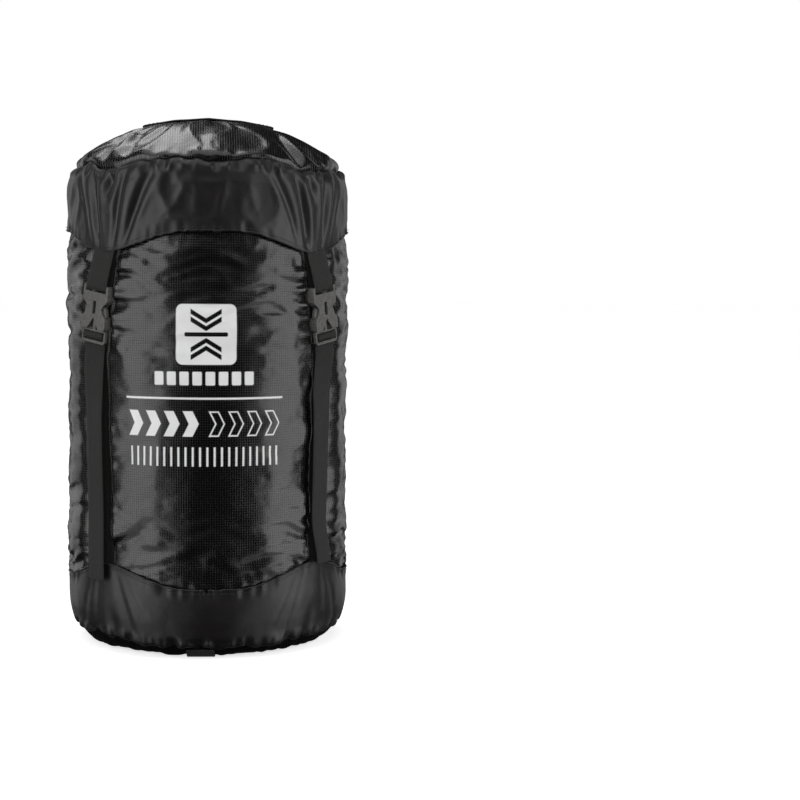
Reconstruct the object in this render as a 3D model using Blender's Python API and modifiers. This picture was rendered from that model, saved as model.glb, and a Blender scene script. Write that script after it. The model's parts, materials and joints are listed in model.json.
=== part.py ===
"""Compression sack, standing at full height on its base, in metres with +Z up.

The origin is the centre of the base where it meets the surface it stands on.
Front is -Y. Four webbing straps run from the base to four side-release buckles,
which hang from a fitted lid. Each strap bows towards the sack's side, so its buckle
leans out of the vertical.
"""

import math

import bmesh
import bpy
from mathutils import Matrix, Vector

# Driving dimensions of the sack
SACK_RADIUS = 0.1306
SACK_HEIGHT = 0.488
CLOTH = 0.0010
GAP = 0.0003
SEGMENTS = 48

# Radii of the nested walls: the skirts are outside, and the tube's two halves telescope
SKIRT_INNER = SACK_RADIUS - CLOTH
TUBE_LOWER_OUTER = 0.1268
TUBE_UPPER_OUTER = TUBE_LOWER_OUTER - CLOTH - 0.0004

# Heights of the seams and hems
BASE_SEAM_Z = 0.0105
BASE_HEM_MID_Z = 0.064
BASE_HEM_STRAP_Z = 0.083
LID_HEM_STRAP_Z = 0.363
LID_HEM_MID_Z = 0.382
LID_SEAM_Z = 0.4445
SEAM_RADIUS = 0.1232
TUBE_SPLIT_LOW_Z = 0.2345
TUBE_SPLIT_HIGH_Z = 0.250
SHOULDER_Z = 0.418
MOUTH_Z = 0.439

# Underside of the base
BASE_FLAT_RADIUS = 0.106
BASE_RIM_RADIUS = 0.1212
BASE_RIM_RISE = 0.008
BASE_RIM_CURVE = 1.8
BASE_PANEL_THICKNESS = 0.003

# The straps' places in degrees, either side of the front and of the back
STRAP_FROM_FRONT = 47
FRONT_LEFT_FROM_FRONT = 44

# Hem arches between the straps
HEM_FLAT_ANGLE = math.radians(-2)
HEM_ARCH_ANGLE = math.radians(36)
HEM_ROLL_RADIUS = 0.0009
HEM_CLEARANCE = 0.0013
SEAM_TAPE_ROLL = 0.0008

# Webbing
WEBBING_WIDTH = 0.025
WEBBING_THICKNESS = 0.0013
STRAP_RADIUS = TUBE_LOWER_OUTER + GAP + WEBBING_THICKNESS / 2
STRAP_ROOT_Z = 0.058
UPPER_STRAP_ROOT_Z = 0.378
TAIL_RADIUS = 0.1340
UPPER_STRAP_WRAP = 0.00325
LOWER_STRAP_WRAP = 0.00255

# Lean of the straps, about the point where the upper strap is sewn in
STRAP_LEAN = math.radians(8.5)
LEAN_PIVOT_Z = UPPER_STRAP_ROOT_Z
LEAN_END_Z = 0.278
RUN_BEND = 0.025
TAIL_BEND = 0.040
TAIL_LEAN = math.radians(-1)

# Buckle, measured down from its top edge
BUCKLE_TOP_Z = 0.333
BUCKLE_PLANE = 0.1320
BUCKLE_HALF_WIDTH = 0.0155
BUCKLE_THICKNESS = 0.008
TOP_BAR = 0.003
STRAP_SLOT = 0.0035
SLOT_HALF_WIDTH = 0.013
SOCKET_LENGTH = 0.040
WAIST_HALF_WIDTH = 0.009
CATCH_D = 0.0285
THROAT_HALF_WIDTH = 0.012
THROAT_HALF_DEPTH = 0.0022
THROAT_TOP_D = 0.0140
WINDOW_TOP_D = 0.0170
SOCKET_BAR_HALF = 0.0017
SIGHT_SLOT_HALF_WIDTH = 0.0019
SIGHT_SLOT_D = (0.0145, 0.0260)
NOTCH_HALF_WIDTH = 0.0080
NOTCH_TIP_D = 0.0294
CORNER_RADIUS = 0.0025
TONGUE_THICKNESS = 0.003
TONGUE_HALF_WIDTH = 0.0150
TONGUE_BAR_HALF = 0.0010
ADJUSTER_TOP_D = 0.0418
SHOULDER_D = SOCKET_LENGTH + GAP
MIDDLE_BAR_D = 0.04575
MIDDLE_BAR_LENGTH = 0.0025
END_BAR_D = 0.0499
BUCKLE_LENGTH = 0.0524
PRONG_PIVOT_U = 0.00875
PRONG_THICKNESS = 0.0028

# Mouth of the sack, under the lid
CHANNEL_RADIUS = 0.0245
CHANNEL_BORE = 0.0021
CHANNEL_WALL = 0.0008
CORD_RADIUS = 0.0015
CORD_SPACING = 0.002
LOCK_Y = -0.0465
LOCK_TRAVEL = 0.012
LOCK_RADIUS = 0.007
LOCK_BORE = 0.005
LOCK_Z = MOUTH_Z + 0.0007 + LOCK_RADIUS
LOCK_CLOSED_END = -0.013
LOCK_OPEN_END = 0.008
LOCK_FLOOR = 0.0015
PLUNGER_RADIUS = 0.0046
PLUNGER_INNER_END = -0.0063
PLUNGER_CAP_END = 0.0135
PLUNGER_TRAVEL = 0.003

# Handles
TOP_HANDLE_HALF_LENGTH = 0.059
BASE_HANDLE_HALF_LENGTH = 0.1195

# Azimuth in degrees of each strap, the way round that it leans, and its loose end's height
STRAPS = {
    "front_left": (270 - FRONT_LEFT_FROM_FRONT, -1, 0.067),
    "front_right": (270 + STRAP_FROM_FRONT, 1, 0.080),
    "back_right": (90 - STRAP_FROM_FRONT, -1, 0.070),
    "back_left": (90 + STRAP_FROM_FRONT, 1, 0.074),
}


# Scene, materials and small helpers


def clear_scene():
    for item in list(bpy.data.objects):
        bpy.data.objects.remove(item)


def new_collection(name):
    collection = bpy.data.collections.new(name)
    bpy.context.scene.collection.children.link(collection)
    return collection


def new_material(name, colour, roughness, metallic=0.0):
    material = bpy.data.materials.new(name)
    material.use_nodes = True
    shader = material.node_tree.nodes["Principled BSDF"]
    shader.inputs["Base Color"].default_value = (*colour, 1.0)
    shader.inputs["Roughness"].default_value = roughness
    shader.inputs["Metallic"].default_value = metallic
    return material


def add_object(name, data, material):
    item = bpy.data.objects.new(name, data)
    if not data.materials:
        data.materials.append(material)
    PARTS.objects.link(item)
    return item


def add_cutter(name, mesh):
    cutter = bpy.data.objects.new(name, mesh)
    cutter.hide_render = True
    cutter.display_type = "WIRE"
    CUTTERS.objects.link(cutter)
    return cutter


def cut(item, cutter):
    boolean = item.modifiers.new("cut by " + cutter.name, "BOOLEAN")
    boolean.operation = "DIFFERENCE"
    boolean.solver = "EXACT"
    boolean.object = cutter


def evaluated_mesh(item, name):
    """The item's mesh with its modifiers applied and its loose caps welded."""
    bpy.context.view_layer.update()
    graph = bpy.context.evaluated_depsgraph_get()
    mesh = bpy.data.meshes.new_from_object(item.evaluated_get(graph))
    mesh.name = name
    bm = bmesh.new()
    bm.from_mesh(mesh)
    bmesh.ops.remove_doubles(bm, verts=bm.verts, dist=1e-6)
    bm.to_mesh(mesh)
    bm.free()
    return mesh


def radial_frame(azimuth, radius, height):
    """Local X points away from the sack's axis, local Y up, and local Z around it."""
    angle = math.radians(azimuth)
    outward = Vector((math.cos(angle), math.sin(angle), 0))
    up = Vector((0, 0, 1))
    across = outward.cross(up)
    frame = Matrix((outward, up, across)).transposed().to_4x4()
    frame.translation = outward * radius + up * height
    return frame


def strap_frame(azimuth):
    """Local X runs the way the azimuth grows, local Y up and local Z outward from the axis."""
    angle = math.radians(azimuth)
    outward = Vector((math.cos(angle), math.sin(angle), 0))
    up = Vector((0, 0, 1))
    across = up.cross(outward)
    return Matrix((across, up, outward)).transposed().to_4x4()


def buckle_frame(azimuth, side):
    """The strap's frame, leant about its sewn end and moved to the buckle's top edge."""
    pivot = Matrix.Translation((0, LEAN_PIVOT_Z, 0))
    lean = Matrix.Rotation(side * STRAP_LEAN, 4, "Z")
    down = Matrix.Translation((0, BUCKLE_TOP_Z - LEAN_PIVOT_Z, BUCKLE_PLANE))
    return strap_frame(azimuth) @ pivot @ lean @ down


def strap_line(height, bend, last_lean):
    """Where a strap's middle lies: its place across, its height and its lean.

    height is counted along the strap. The strap leans as its buckle does down to
    LEAN_END_Z, turns over the length of bend, and then keeps last_lean.
    """
    across = 0.0
    up = LEAN_PIVOT_Z
    lean = STRAP_LEAN
    straight = LEAN_PIVOT_Z - max(height, LEAN_END_Z)
    across += straight * math.sin(lean)
    up -= straight * math.cos(lean)
    step = 0.001
    below = LEAN_END_Z
    while below > height + 1e-9:
        length = min(step, below - height)
        share = min((LEAN_END_Z - below + length / 2) / bend, 1.0)
        lean = STRAP_LEAN + (last_lean - STRAP_LEAN) * share * share * (3 - 2 * share)
        across += length * math.sin(lean)
        up -= length * math.cos(lean)
        below -= length
    return across, up, lean


def run_lean():
    """The lean that brings a strap back from its buckle to its root at the base."""
    away = (LEAN_PIVOT_Z - LEAN_END_Z + RUN_BEND / 2) * math.sin(STRAP_LEAN)
    back = LEAN_END_Z - RUN_BEND / 2 - STRAP_ROOT_Z
    return -math.atan2(away, back)


# Shapes


def hem_height(azimuth, strap_z, mid_z):
    """A hem is lowest or highest at each strap and arches between them."""
    turns = [azimuth - math.radians(place[0]) for place in STRAPS.values()]
    from_strap = min(abs(math.remainder(turn, 2 * math.pi)) for turn in turns)
    share = (from_strap - HEM_FLAT_ANGLE) / (HEM_ARCH_ANGLE - HEM_FLAT_ANGLE)
    share = min(max(share, 0.0), 1.0)
    return strap_z + (mid_z - strap_z) * share * share * (3 - 2 * share)


def turned_shell(name, profile, material, thickness=CLOTH, hem=None):
    """An open profile of (radius, height) points turned about +Z and thickened inward.

    hem is (profile point, height at the straps, height midway) for a scalloped edge.
    """
    bm = bmesh.new()
    points = [bm.verts.new((radius, 0, height)) for radius, height in profile]
    edges = [bm.edges.new(pair) for pair in zip(points, points[1:])]
    bmesh.ops.spin(
        bm,
        geom=points + edges,
        axis=(0, 0, 1),
        cent=(0, 0, 0),
        steps=SEGMENTS,
        angle=2 * math.pi,
    )
    bmesh.ops.remove_doubles(bm, verts=bm.verts, dist=1e-6)
    if hem:
        index, strap_z, mid_z = hem
        edge_z = profile[index][1]
        for vertex in bm.verts:
            if abs(vertex.co.z - edge_z) < 1e-6:
                azimuth = math.atan2(vertex.co.y, vertex.co.x)
                vertex.co.z = hem_height(azimuth, strap_z, mid_z)
    bmesh.ops.recalc_face_normals(bm, faces=bm.faces)
    widest = max(bm.faces, key=lambda face: face.calc_center_median().xy.length)
    if widest.normal.xy.dot(widest.calc_center_median().xy) < 0:
        bmesh.ops.reverse_faces(bm, faces=bm.faces)
    mesh = bpy.data.meshes.new(name)
    bm.to_mesh(mesh)
    bm.free()
    item = add_object(name, mesh, material)
    solidify = item.modifiers.new("cloth", "SOLIDIFY")
    solidify.thickness = thickness
    solidify.offset = -1
    solidify.use_even_offset = True
    mesh.shade_smooth()
    mesh.set_sharp_from_angle(angle=math.radians(40))
    return item


def tube_along(name, points, radius, material, cyclic=False, sides=1):
    curve = bpy.data.curves.new(name, "CURVE")
    curve.dimensions = "3D"
    curve.bevel_depth = radius
    curve.bevel_resolution = sides
    curve.use_fill_caps = not cyclic
    spline = curve.splines.new("POLY")
    spline.points.add(len(points) - 1)
    for target, point in zip(spline.points, points):
        target.co = (*point, 1)
    spline.use_cyclic_u = cyclic
    return add_object(name, curve, material)


def hem_ring(name, radius, strap_z, mid_z, material, roll=HEM_ROLL_RADIUS, steps=SEGMENTS):
    points = []
    for step in range(steps):
        azimuth = 2 * math.pi * step / steps
        height = hem_height(azimuth, strap_z, mid_z)
        points.append((radius * math.cos(azimuth), radius * math.sin(azimuth), height))
    return tube_along(name, points, roll, material, cyclic=True)


def seam_tape(name, radius, height):
    """The tape that binds a seam's raw edges inside the sack."""
    return hem_ring(name, radius, height, height, TAFFETA, roll=SEAM_TAPE_ROLL, steps=24)


def outline_curve(name, outlines, thickness):
    """A flat 2D curve with holes, thickened evenly about its plane."""
    curve = bpy.data.curves.new(name, "CURVE")
    curve.dimensions = "2D"
    curve.fill_mode = "BOTH"
    curve.extrude = thickness / 2
    for outline in outlines:
        spline = curve.splines.new("POLY")
        spline.points.add(len(outline) - 1)
        for target, point in zip(spline.points, outline):
            target.co = (point[0], point[1], 0, 1)
        spline.use_cyclic_u = True
    return curve


def plate(name, outlines, thickness, material, bevel=0.0):
    """A flat plate as a mesh, with its long edges rounded when bevel isn't 0."""
    guide = add_object(name + " guide", outline_curve(name, outlines, thickness), material)
    mesh = evaluated_mesh(guide, name)
    bpy.data.objects.remove(guide)
    item = add_object(name, mesh, material)
    if bevel:
        rounding = item.modifiers.new("rounding", "BEVEL")
        rounding.width = bevel
        rounding.segments = 2
        rounding.limit_method = "ANGLE"
        rounding.angle_limit = math.radians(60)
    return item


def ribbon_outline(path, thickness):
    """The outline of a strip of even thickness along a path of (outward, up) points."""
    left = []
    right = []
    for index, point in enumerate(path):
        before = Vector(path[max(index - 1, 0)])
        after = Vector(path[min(index + 1, len(path) - 1)])
        along = (after - before).normalized()
        side = Vector((-along.y, along.x)) * thickness / 2
        left.append(Vector(point) + side)
        right.append(Vector(point) - side)
    return [tuple(point) for point in left + right[::-1]]


def smooth_path(points, steps=4):
    """A Catmull-Rom curve through the points."""
    ends = [Vector(points[0]) * 2 - Vector(points[1])]
    ends += [Vector(point) for point in points]
    ends += [Vector(points[-1]) * 2 - Vector(points[-2])]
    path = []
    for a, b, c, d in zip(ends, ends[1:], ends[2:], ends[3:]):
        for step in range(steps):
            t = step / steps
            cubic = (3 * b - a - 3 * c + d) * t**3
            square = (2 * a - 5 * b + 4 * c - d) * t**2
            path.append(tuple((cubic + square + (c - a) * t + 2 * b) / 2))
    path.append(tuple(points[-1]))
    return path


def arc(centre, radius, start, end, steps):
    """Points on an arc of (outward, up) points, with its angles in degrees."""
    points = []
    for step in range(steps + 1):
        angle = math.radians(start + (end - start) * step / steps)
        points.append((centre[0] + radius * math.cos(angle), centre[1] + radius * math.sin(angle)))
    return points


def webbing(name, path, azimuth):
    """Webbing that follows a path of (radius, height) points in the plane of an azimuth."""
    curve = outline_curve(name, [ribbon_outline(path, WEBBING_THICKNESS)], WEBBING_WIDTH)
    item = add_object(name, curve, WEBBING)
    item.matrix_world = radial_frame(azimuth, 0, 0)
    return item


def leaning_webbing(name, path, azimuth, side, bend=RUN_BEND, last_lean=0.0):
    """Webbing like that of webbing(), which also follows the line of a leaning strap."""
    upright = webbing(name + " upright", path, 0)
    mesh = evaluated_mesh(upright, name)
    bpy.data.objects.remove(upright)
    for vertex in mesh.vertices:
        outward, height, across = vertex.co
        middle, up, lean = strap_line(height, bend, last_lean)
        middle += across * math.cos(lean)
        up += across * math.sin(lean)
        vertex.co = (middle * side, up, outward)
    if side > 0:
        mesh.flip_normals()
    item = add_object(name, mesh, WEBBING)
    item.matrix_world = strap_frame(azimuth)
    return item


def box_mesh(name, low, high):
    bm = bmesh.new()
    bmesh.ops.create_cube(bm, size=1)
    size = Vector(high) - Vector(low)
    middle = (Vector(high) + Vector(low)) / 2
    bmesh.ops.scale(bm, vec=size, verts=bm.verts)
    bmesh.ops.translate(bm, vec=middle, verts=bm.verts)
    mesh = bpy.data.meshes.new(name)
    bm.to_mesh(mesh)
    bm.free()
    return mesh


def rod_mesh(name, radius, start_x, end_x, centre_y, centre_z, segments=24):
    """A solid rod along X."""
    bm = bmesh.new()
    bmesh.ops.create_cone(
        bm,
        cap_ends=True,
        segments=segments,
        radius1=radius,
        radius2=radius,
        depth=end_x - start_x,
    )
    bmesh.ops.rotate(bm, matrix=Matrix.Rotation(math.pi / 2, 3, "Y"), verts=bm.verts)
    offset = ((start_x + end_x) / 2, centre_y, centre_z)
    bmesh.ops.translate(bm, vec=offset, verts=bm.verts)
    mesh = bpy.data.meshes.new(name)
    bm.to_mesh(mesh)
    bm.free()
    return mesh


# Base


def base_surface(radius):
    """Height of the base's underside: flat in the middle and turning up to its seam."""
    beyond = max(radius - BASE_FLAT_RADIUS, 0) / (BASE_RIM_RADIUS - BASE_FLAT_RADIUS)
    return BASE_RIM_RISE * beyond**BASE_RIM_CURVE


def build_base():
    rim = (BASE_RIM_RADIUS, 0.118, 0.114, BASE_FLAT_RADIUS)
    underside = [(radius, base_surface(radius)) for radius in rim] + [(0, 0)]
    panel = turned_shell("base_panel", underside, RIPSTOP, thickness=BASE_PANEL_THICKNESS)
    groove = add_cutter("handle groove", handle_groove_mesh())
    groove.matrix_world = radial_frame(90, 0, 0)
    cut(panel, groove)

    band = [
        (SEAM_RADIUS - 0.0005, BASE_SEAM_Z),
        (0.1268, 0.020),
        (0.1292, 0.034),
        (SACK_RADIUS, 0.052),
        (SACK_RADIUS, BASE_HEM_STRAP_Z),
    ]
    hem = (4, BASE_HEM_STRAP_Z - HEM_CLEARANCE, BASE_HEM_MID_Z - HEM_CLEARANCE)
    turned_shell("base_side_band", band, TAFFETA, hem=hem)
    hem_radius = SACK_RADIUS - CLOTH / 2 + GAP
    hem_ring("base_hem_binding", hem_radius, BASE_HEM_STRAP_Z, BASE_HEM_MID_Z, TAFFETA)
    seam_tape("base_seam_tape", 0.115, 0.0125)
    webbing("base_grab_handle", base_handle_path(0), 90)


def base_handle_path(above):
    """Under the base from front to back, following its underside."""
    centre = WEBBING_THICKNESS / 2
    reach = BASE_HANDLE_HALF_LENGTH + above
    stations = (1, 0.985, 0.965, 0.94, 0.91, 0.88, 0.6)
    outer = [-reach * station for station in stations]
    along = outer + [0] + [-place for place in outer[::-1]]
    return [(place, base_surface(abs(place)) + centre) for place in along]


def handle_groove_mesh():
    """The groove's roof is a gap above the webbing, and it is open below."""
    roof = [(x, z + WEBBING_THICKNESS / 2 + GAP) for x, z in base_handle_path(0.004)]
    floor = [(roof[-1][0], -0.01), (roof[0][0], -0.01)]
    curve = outline_curve("groove", [roof + floor], WEBBING_WIDTH + 4 * GAP)
    guide = bpy.data.objects.new("groove guide", curve)
    CUTTERS.objects.link(guide)
    mesh = evaluated_mesh(guide, "handle groove")
    bpy.data.objects.remove(guide)
    return mesh


# Body tube and mouth


def build_body():
    lower = [
        (0.1192, 0.0125),
        (0.1236, 0.0225),
        (0.1258, 0.036),
        (TUBE_LOWER_OUTER, 0.052),
        (TUBE_LOWER_OUTER, TUBE_SPLIT_HIGH_Z),
    ]
    turned_shell("body_tube_lower", lower, RIPSTOP)
    gathered_edge = CHANNEL_RADIUS + CHANNEL_BORE + CHANNEL_WALL + GAP
    upper = [
        (TUBE_UPPER_OUTER, TUBE_SPLIT_LOW_Z),
        (TUBE_UPPER_OUTER, SHOULDER_Z),
        (0.1225, SHOULDER_Z + 0.010),
        (0.1150, MOUTH_Z - 0.003),
        (0.080, MOUTH_Z - 0.001),
        (gathered_edge, MOUTH_Z),
    ]
    turned_shell("body_tube_upper", upper, RIPSTOP)
    build_channel()
    build_drawcord()
    build_cord_lock()


def build_channel():
    """The drawcord's tunnel: a split tube around the mouth, open at the front for the cord."""
    centre = (CHANNEL_RADIUS, MOUTH_Z + 0.001)
    outer = arc(centre, CHANNEL_BORE + CHANNEL_WALL, 250, -70, 6)
    inner = arc(centre, CHANNEL_BORE, -70, 250, 6)
    bm = bmesh.new()
    points = [bm.verts.new((radius, 0, height)) for radius, height in outer + inner]
    for pair in zip(points, points[1:] + points[:1]):
        bm.edges.new(pair)
    mesh = bpy.data.meshes.new("drawcord_channel")
    bm.to_mesh(mesh)
    bm.free()
    channel = add_object("drawcord_channel", mesh, RIPSTOP)
    screw = channel.modifiers.new("turn", "SCREW")
    screw.steps = 24
    screw.render_steps = 24
    screw.use_merge_vertices = True
    screw.merge_threshold = 1e-5
    front = box_mesh("channel opening", (-0.006, -0.04, 0.42), (0.006, -0.012, 0.46))
    cut(channel, add_cutter("channel opening", front))


def drawcord_path():
    """Around the mouth, out at the front, through the lock and back on itself."""
    ring_z = MOUTH_Z + 0.001
    half_gap = math.asin(CORD_SPACING * 1.5 / CHANNEL_RADIUS)
    ring_steps = 22
    span = 2 * math.pi - 2 * half_gap
    ring = []
    for step in range(ring_steps + 1):
        angle = -math.pi / 2 + half_gap + span * step / ring_steps
        ring.append((CHANNEL_RADIUS * math.cos(angle), CHANNEL_RADIUS * math.sin(angle), ring_z))
    loop_end = LOCK_Y - LOCK_RADIUS - LOCK_TRAVEL - 2 * CORD_SPACING
    side = ((-0.0290, ring_z + 0.0016), (-0.0325, ring_z + 0.0045), (-0.0355, LOCK_Z))
    side += ((LOCK_Y, LOCK_Z), (LOCK_Y - LOCK_RADIUS - LOCK_TRAVEL / 2, LOCK_Z), (loop_end, LOCK_Z))
    out = [(-CORD_SPACING, y, z) for y, z in side]
    back = [(CORD_SPACING, y, z) for y, z in side[::-1]]
    turn = []
    for step in range(1, 6):
        angle = math.pi + math.pi * step / 6
        across = CORD_SPACING * math.cos(angle)
        turn.append((across, loop_end + CORD_SPACING * math.sin(angle), LOCK_Z))
    return ring + out + turn + back


def build_drawcord():
    tube_along("mouth_drawcord", drawcord_path(), CORD_RADIUS, CORD, cyclic=True, sides=2)


def build_cord_lock():
    cord_reach = CORD_SPACING + CORD_RADIUS
    slot_half_height = CORD_RADIUS + GAP
    barrel = add_object(
        "cord_lock_barrel",
        rod_mesh("barrel", LOCK_RADIUS, LOCK_CLOSED_END, LOCK_OPEN_END, LOCK_Y, LOCK_Z),
        PLASTIC,
    )
    bore = rod_mesh(
        "lock bore", LOCK_BORE, LOCK_CLOSED_END + LOCK_FLOOR, LOCK_OPEN_END + 0.01, LOCK_Y, LOCK_Z
    )
    cut(barrel, add_cutter("lock bore", bore))
    side = cord_reach + 2 * GAP
    eye = box_mesh(
        "barrel eye",
        (-side, LOCK_Y - 0.01, LOCK_Z - slot_half_height),
        (side, LOCK_Y + 0.01, LOCK_Z + slot_half_height),
    )
    cut(barrel, add_cutter("barrel eye", eye))

    plunger = add_object(
        "cord_lock_plunger",
        rod_mesh("plunger", PLUNGER_RADIUS, PLUNGER_INNER_END, PLUNGER_CAP_END, LOCK_Y, LOCK_Z),
        PLASTIC,
    )
    reach = cord_reach + GAP
    eye = box_mesh(
        "plunger eye",
        (-reach, LOCK_Y - 0.01, LOCK_Z - slot_half_height),
        (reach + PLUNGER_TRAVEL, LOCK_Y + 0.01, LOCK_Z + slot_half_height),
    )
    cut(plunger, add_cutter("plunger eye", eye))
    build_lock_spring()


def build_lock_spring():
    turns = 3.5
    steps_per_turn = 9
    wire = 0.0003
    coil_radius = 0.0034
    start = LOCK_CLOSED_END + LOCK_FLOOR + GAP + wire
    end = PLUNGER_INNER_END - GAP - wire
    count = int(turns * steps_per_turn)
    points = []
    for step in range(count + 1):
        angle = 2 * math.pi * step / steps_per_turn
        along = start + (end - start) * step / count
        y = LOCK_Y + coil_radius * math.cos(angle)
        z = LOCK_Z + coil_radius * math.sin(angle)
        points.append((along, y, z))
    tube_along("cord_lock_spring", points, wire, STEEL)


# Lid


DOME = (
    (SEAM_RADIUS - 0.0012, LID_SEAM_Z + 0.0016),
    (0.1195, 0.4500),
    (0.1114, 0.4567),
    (0.0990, 0.4640),
    (0.0830, 0.4712),
    (0.0586, 0.4788),
    (0.0300, 0.4836),
    (0.0, SACK_HEIGHT - WEBBING_THICKNESS - 2 * GAP),
)


def dome_surface(radius):
    for (outer_r, outer_z), (inner_r, inner_z) in zip(DOME, DOME[1:]):
        if inner_r <= radius <= outer_r:
            share = (radius - inner_r) / (outer_r - inner_r)
            return inner_z + (outer_z - inner_z) * share
    return DOME[0][1]


def build_lid():
    band = [
        (SACK_RADIUS, LID_HEM_STRAP_Z),
        (SACK_RADIUS, 0.424),
        (0.1288, 0.434),
        (0.1262, 0.440),
        (SEAM_RADIUS, LID_SEAM_Z),
    ]
    hem = (0, LID_HEM_STRAP_Z + HEM_CLEARANCE, LID_HEM_MID_Z + HEM_CLEARANCE)
    turned_shell("lid_side_band", band, TAFFETA, hem=hem)
    turned_shell("lid_top_panel", list(DOME), RIPSTOP)
    hem_radius = SACK_RADIUS - CLOTH / 2 + GAP
    hem_ring("lid_hem_binding", hem_radius, LID_HEM_STRAP_Z, LID_HEM_MID_Z, TAFFETA)
    seam_tape("lid_seam_tape", 0.1190, 0.4425)
    stations = (1, 0.8, 0.6, 0.4, 0.2, 0)
    lift = GAP + WEBBING_THICKNESS / 2
    right = []
    for station in stations:
        along = TOP_HANDLE_HALF_LENGTH * station
        right.append((along, dome_surface(along) + lift))
    left = [(-along, height) for along, height in right[-2::-1]]
    webbing("top_grab_handle", right + left, 0)


# Straps


def build_upper_strap(place, azimuth, side):
    """From under the lid's hem, around the buckle's top bar and back up to where it is sewn."""
    bar = (BUCKLE_PLANE, BUCKLE_TOP_Z - TOP_BAR / 2)
    folded = STRAP_RADIUS + WEBBING_THICKNESS + GAP
    path = [
        (STRAP_RADIUS, UPPER_STRAP_ROOT_Z),
        (STRAP_RADIUS, 0.349),
        (STRAP_RADIUS + 0.0002, 0.342),
        (STRAP_RADIUS + 0.0007, 0.336),
    ]
    path += arc(bar, UPPER_STRAP_WRAP, 180, 375, 9)
    path += [
        (BUCKLE_PLANE + 0.0014, 0.3380),
        (folded + 0.0014, 0.3420),
        (folded + 0.0001, 0.3465),
        (folded, 0.3490),
        (folded, 0.3580),
    ]
    leaning_webbing("upper_strap_" + place, path, azimuth, side)


def slot_point(outward, down):
    """A point beside the buckle's middle bar, as distances outward and down from it."""
    return (BUCKLE_PLANE + outward, BUCKLE_TOP_Z - MIDDLE_BAR_D - down)


def build_strap(place, azimuth, side, tail_end_z):
    """One piece of webbing: up to the buckle, over its middle bar and down as the loose end."""
    middle_bar = slot_point(0, 0)
    stations = (STRAP_ROOT_Z, 0.165, 0.2530, 0.2610, 0.2695, 0.2780)
    run = [(STRAP_RADIUS, height) for height in stations]
    run += smooth_path(
        [
            (STRAP_RADIUS, middle_bar[1] - 0.0025),
            slot_point(-0.0040, -0.0002),
            slot_point(-0.0031, -0.0017),
            slot_point(-0.0018, -0.00245),
        ],
        steps=2,
    )
    run += arc(middle_bar, LOWER_STRAP_WRAP, 90, -90, 9)
    leaning_webbing("strap_run_" + place, run, azimuth, side, RUN_BEND, run_lean())

    tail = smooth_path(
        [
            slot_point(-0.0003, 0.00256),
            slot_point(-0.0013, 0.0028),
            slot_point(-0.0022, 0.0036),
            slot_point(-0.00245, 0.0055),
            slot_point(-0.0024, 0.0100),
            (0.1306, 0.2640),
            (0.1330, 0.2440),
            (TAIL_RADIUS, 0.2100),
            (TAIL_RADIUS, 0.1700),
            (TAIL_RADIUS - 0.0004, 0.1300),
            (TAIL_RADIUS, 0.0950),
            (TAIL_RADIUS, tail_end_z),
        ],
        steps=2,
    )
    leaning_webbing("strap_tail_" + place, tail, azimuth, side, TAIL_BEND, TAIL_LEAN)


# Buckles. Plates are drawn with X across and Y up from the buckle's top edge.


def mirrored(half):
    """An outline that repeats the half at positive X on the other side."""
    return half + [(-x, y) for x, y in half[::-1]]


def socket_outline():
    centre = (BUCKLE_HALF_WIDTH - CORNER_RADIUS, -CORNER_RADIUS)
    corner = arc(centre, CORNER_RADIUS, 90, 0, 3)
    waist = [
        (BUCKLE_HALF_WIDTH, -0.0130),
        (0.0140, -0.0152),
        (0.0105, -0.0180),
        (WAIST_HALF_WIDTH, -0.0210),
        (0.0098, -0.0245),
        (0.0122, -0.0272),
        (0.0143, -CATCH_D),
    ]
    mouth = [(0.0150, -0.0320), (0.0150, -0.0380), (0.0138, -SOCKET_LENGTH)]
    return mirrored(corner + waist + mouth)


def socket_mesh():
    """The female half, cut from a rounded hourglass plate."""
    body = plate("socket", [socket_outline()], BUCKLE_THICKNESS, PLASTIC, bevel=0.0008)
    deep = BUCKLE_THICKNESS
    beyond = 0.01
    wide = BUCKLE_HALF_WIDTH + beyond
    throat = THROAT_HALF_WIDTH
    open_end = -SOCKET_LENGTH - beyond
    depth = THROAT_HALF_DEPTH
    slot = SLOT_HALF_WIDTH
    slot_top = -TOP_BAR
    slot_end = -TOP_BAR - STRAP_SLOT
    bar_half = SOCKET_BAR_HALF
    sight = SIGHT_SLOT_HALF_WIDTH
    boxes = {
        "socket throat": ((-throat, open_end, -depth), (throat, -THROAT_TOP_D, depth)),
        "socket windows": ((-wide, -CATCH_D, -depth), (wide, -WINDOW_TOP_D, depth)),
        "socket strap slot": ((-slot, slot_end, -deep), (slot, slot_top, deep)),
        "socket bar front": ((-slot, slot_end, bar_half), (slot, beyond, deep)),
        "socket bar back": ((-slot, slot_end, -deep), (slot, beyond, -bar_half)),
        "socket sight slot": ((-sight, -SIGHT_SLOT_D[1], 0), (sight, -SIGHT_SLOT_D[0], deep)),
    }
    for name, (low, high) in boxes.items():
        cut(body, add_cutter(name, box_mesh(name, low, high)))
    below = -SOCKET_LENGTH - 0.001
    notch = [(-NOTCH_HALF_WIDTH, below), (0.0, -NOTCH_TIP_D), (NOTCH_HALF_WIDTH, below)]
    wedge = plate("notch", [notch], deep, PLASTIC)
    PARTS.objects.unlink(wedge)
    CUTTERS.objects.link(wedge)
    wedge.name = "socket notch"
    wedge.hide_render = True
    wedge.display_type = "WIRE"
    wedge.location.z = deep / 2
    cut(body, wedge)
    mesh = evaluated_mesh(body, "buckle_socket")
    bpy.data.objects.remove(body)
    return mesh


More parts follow.
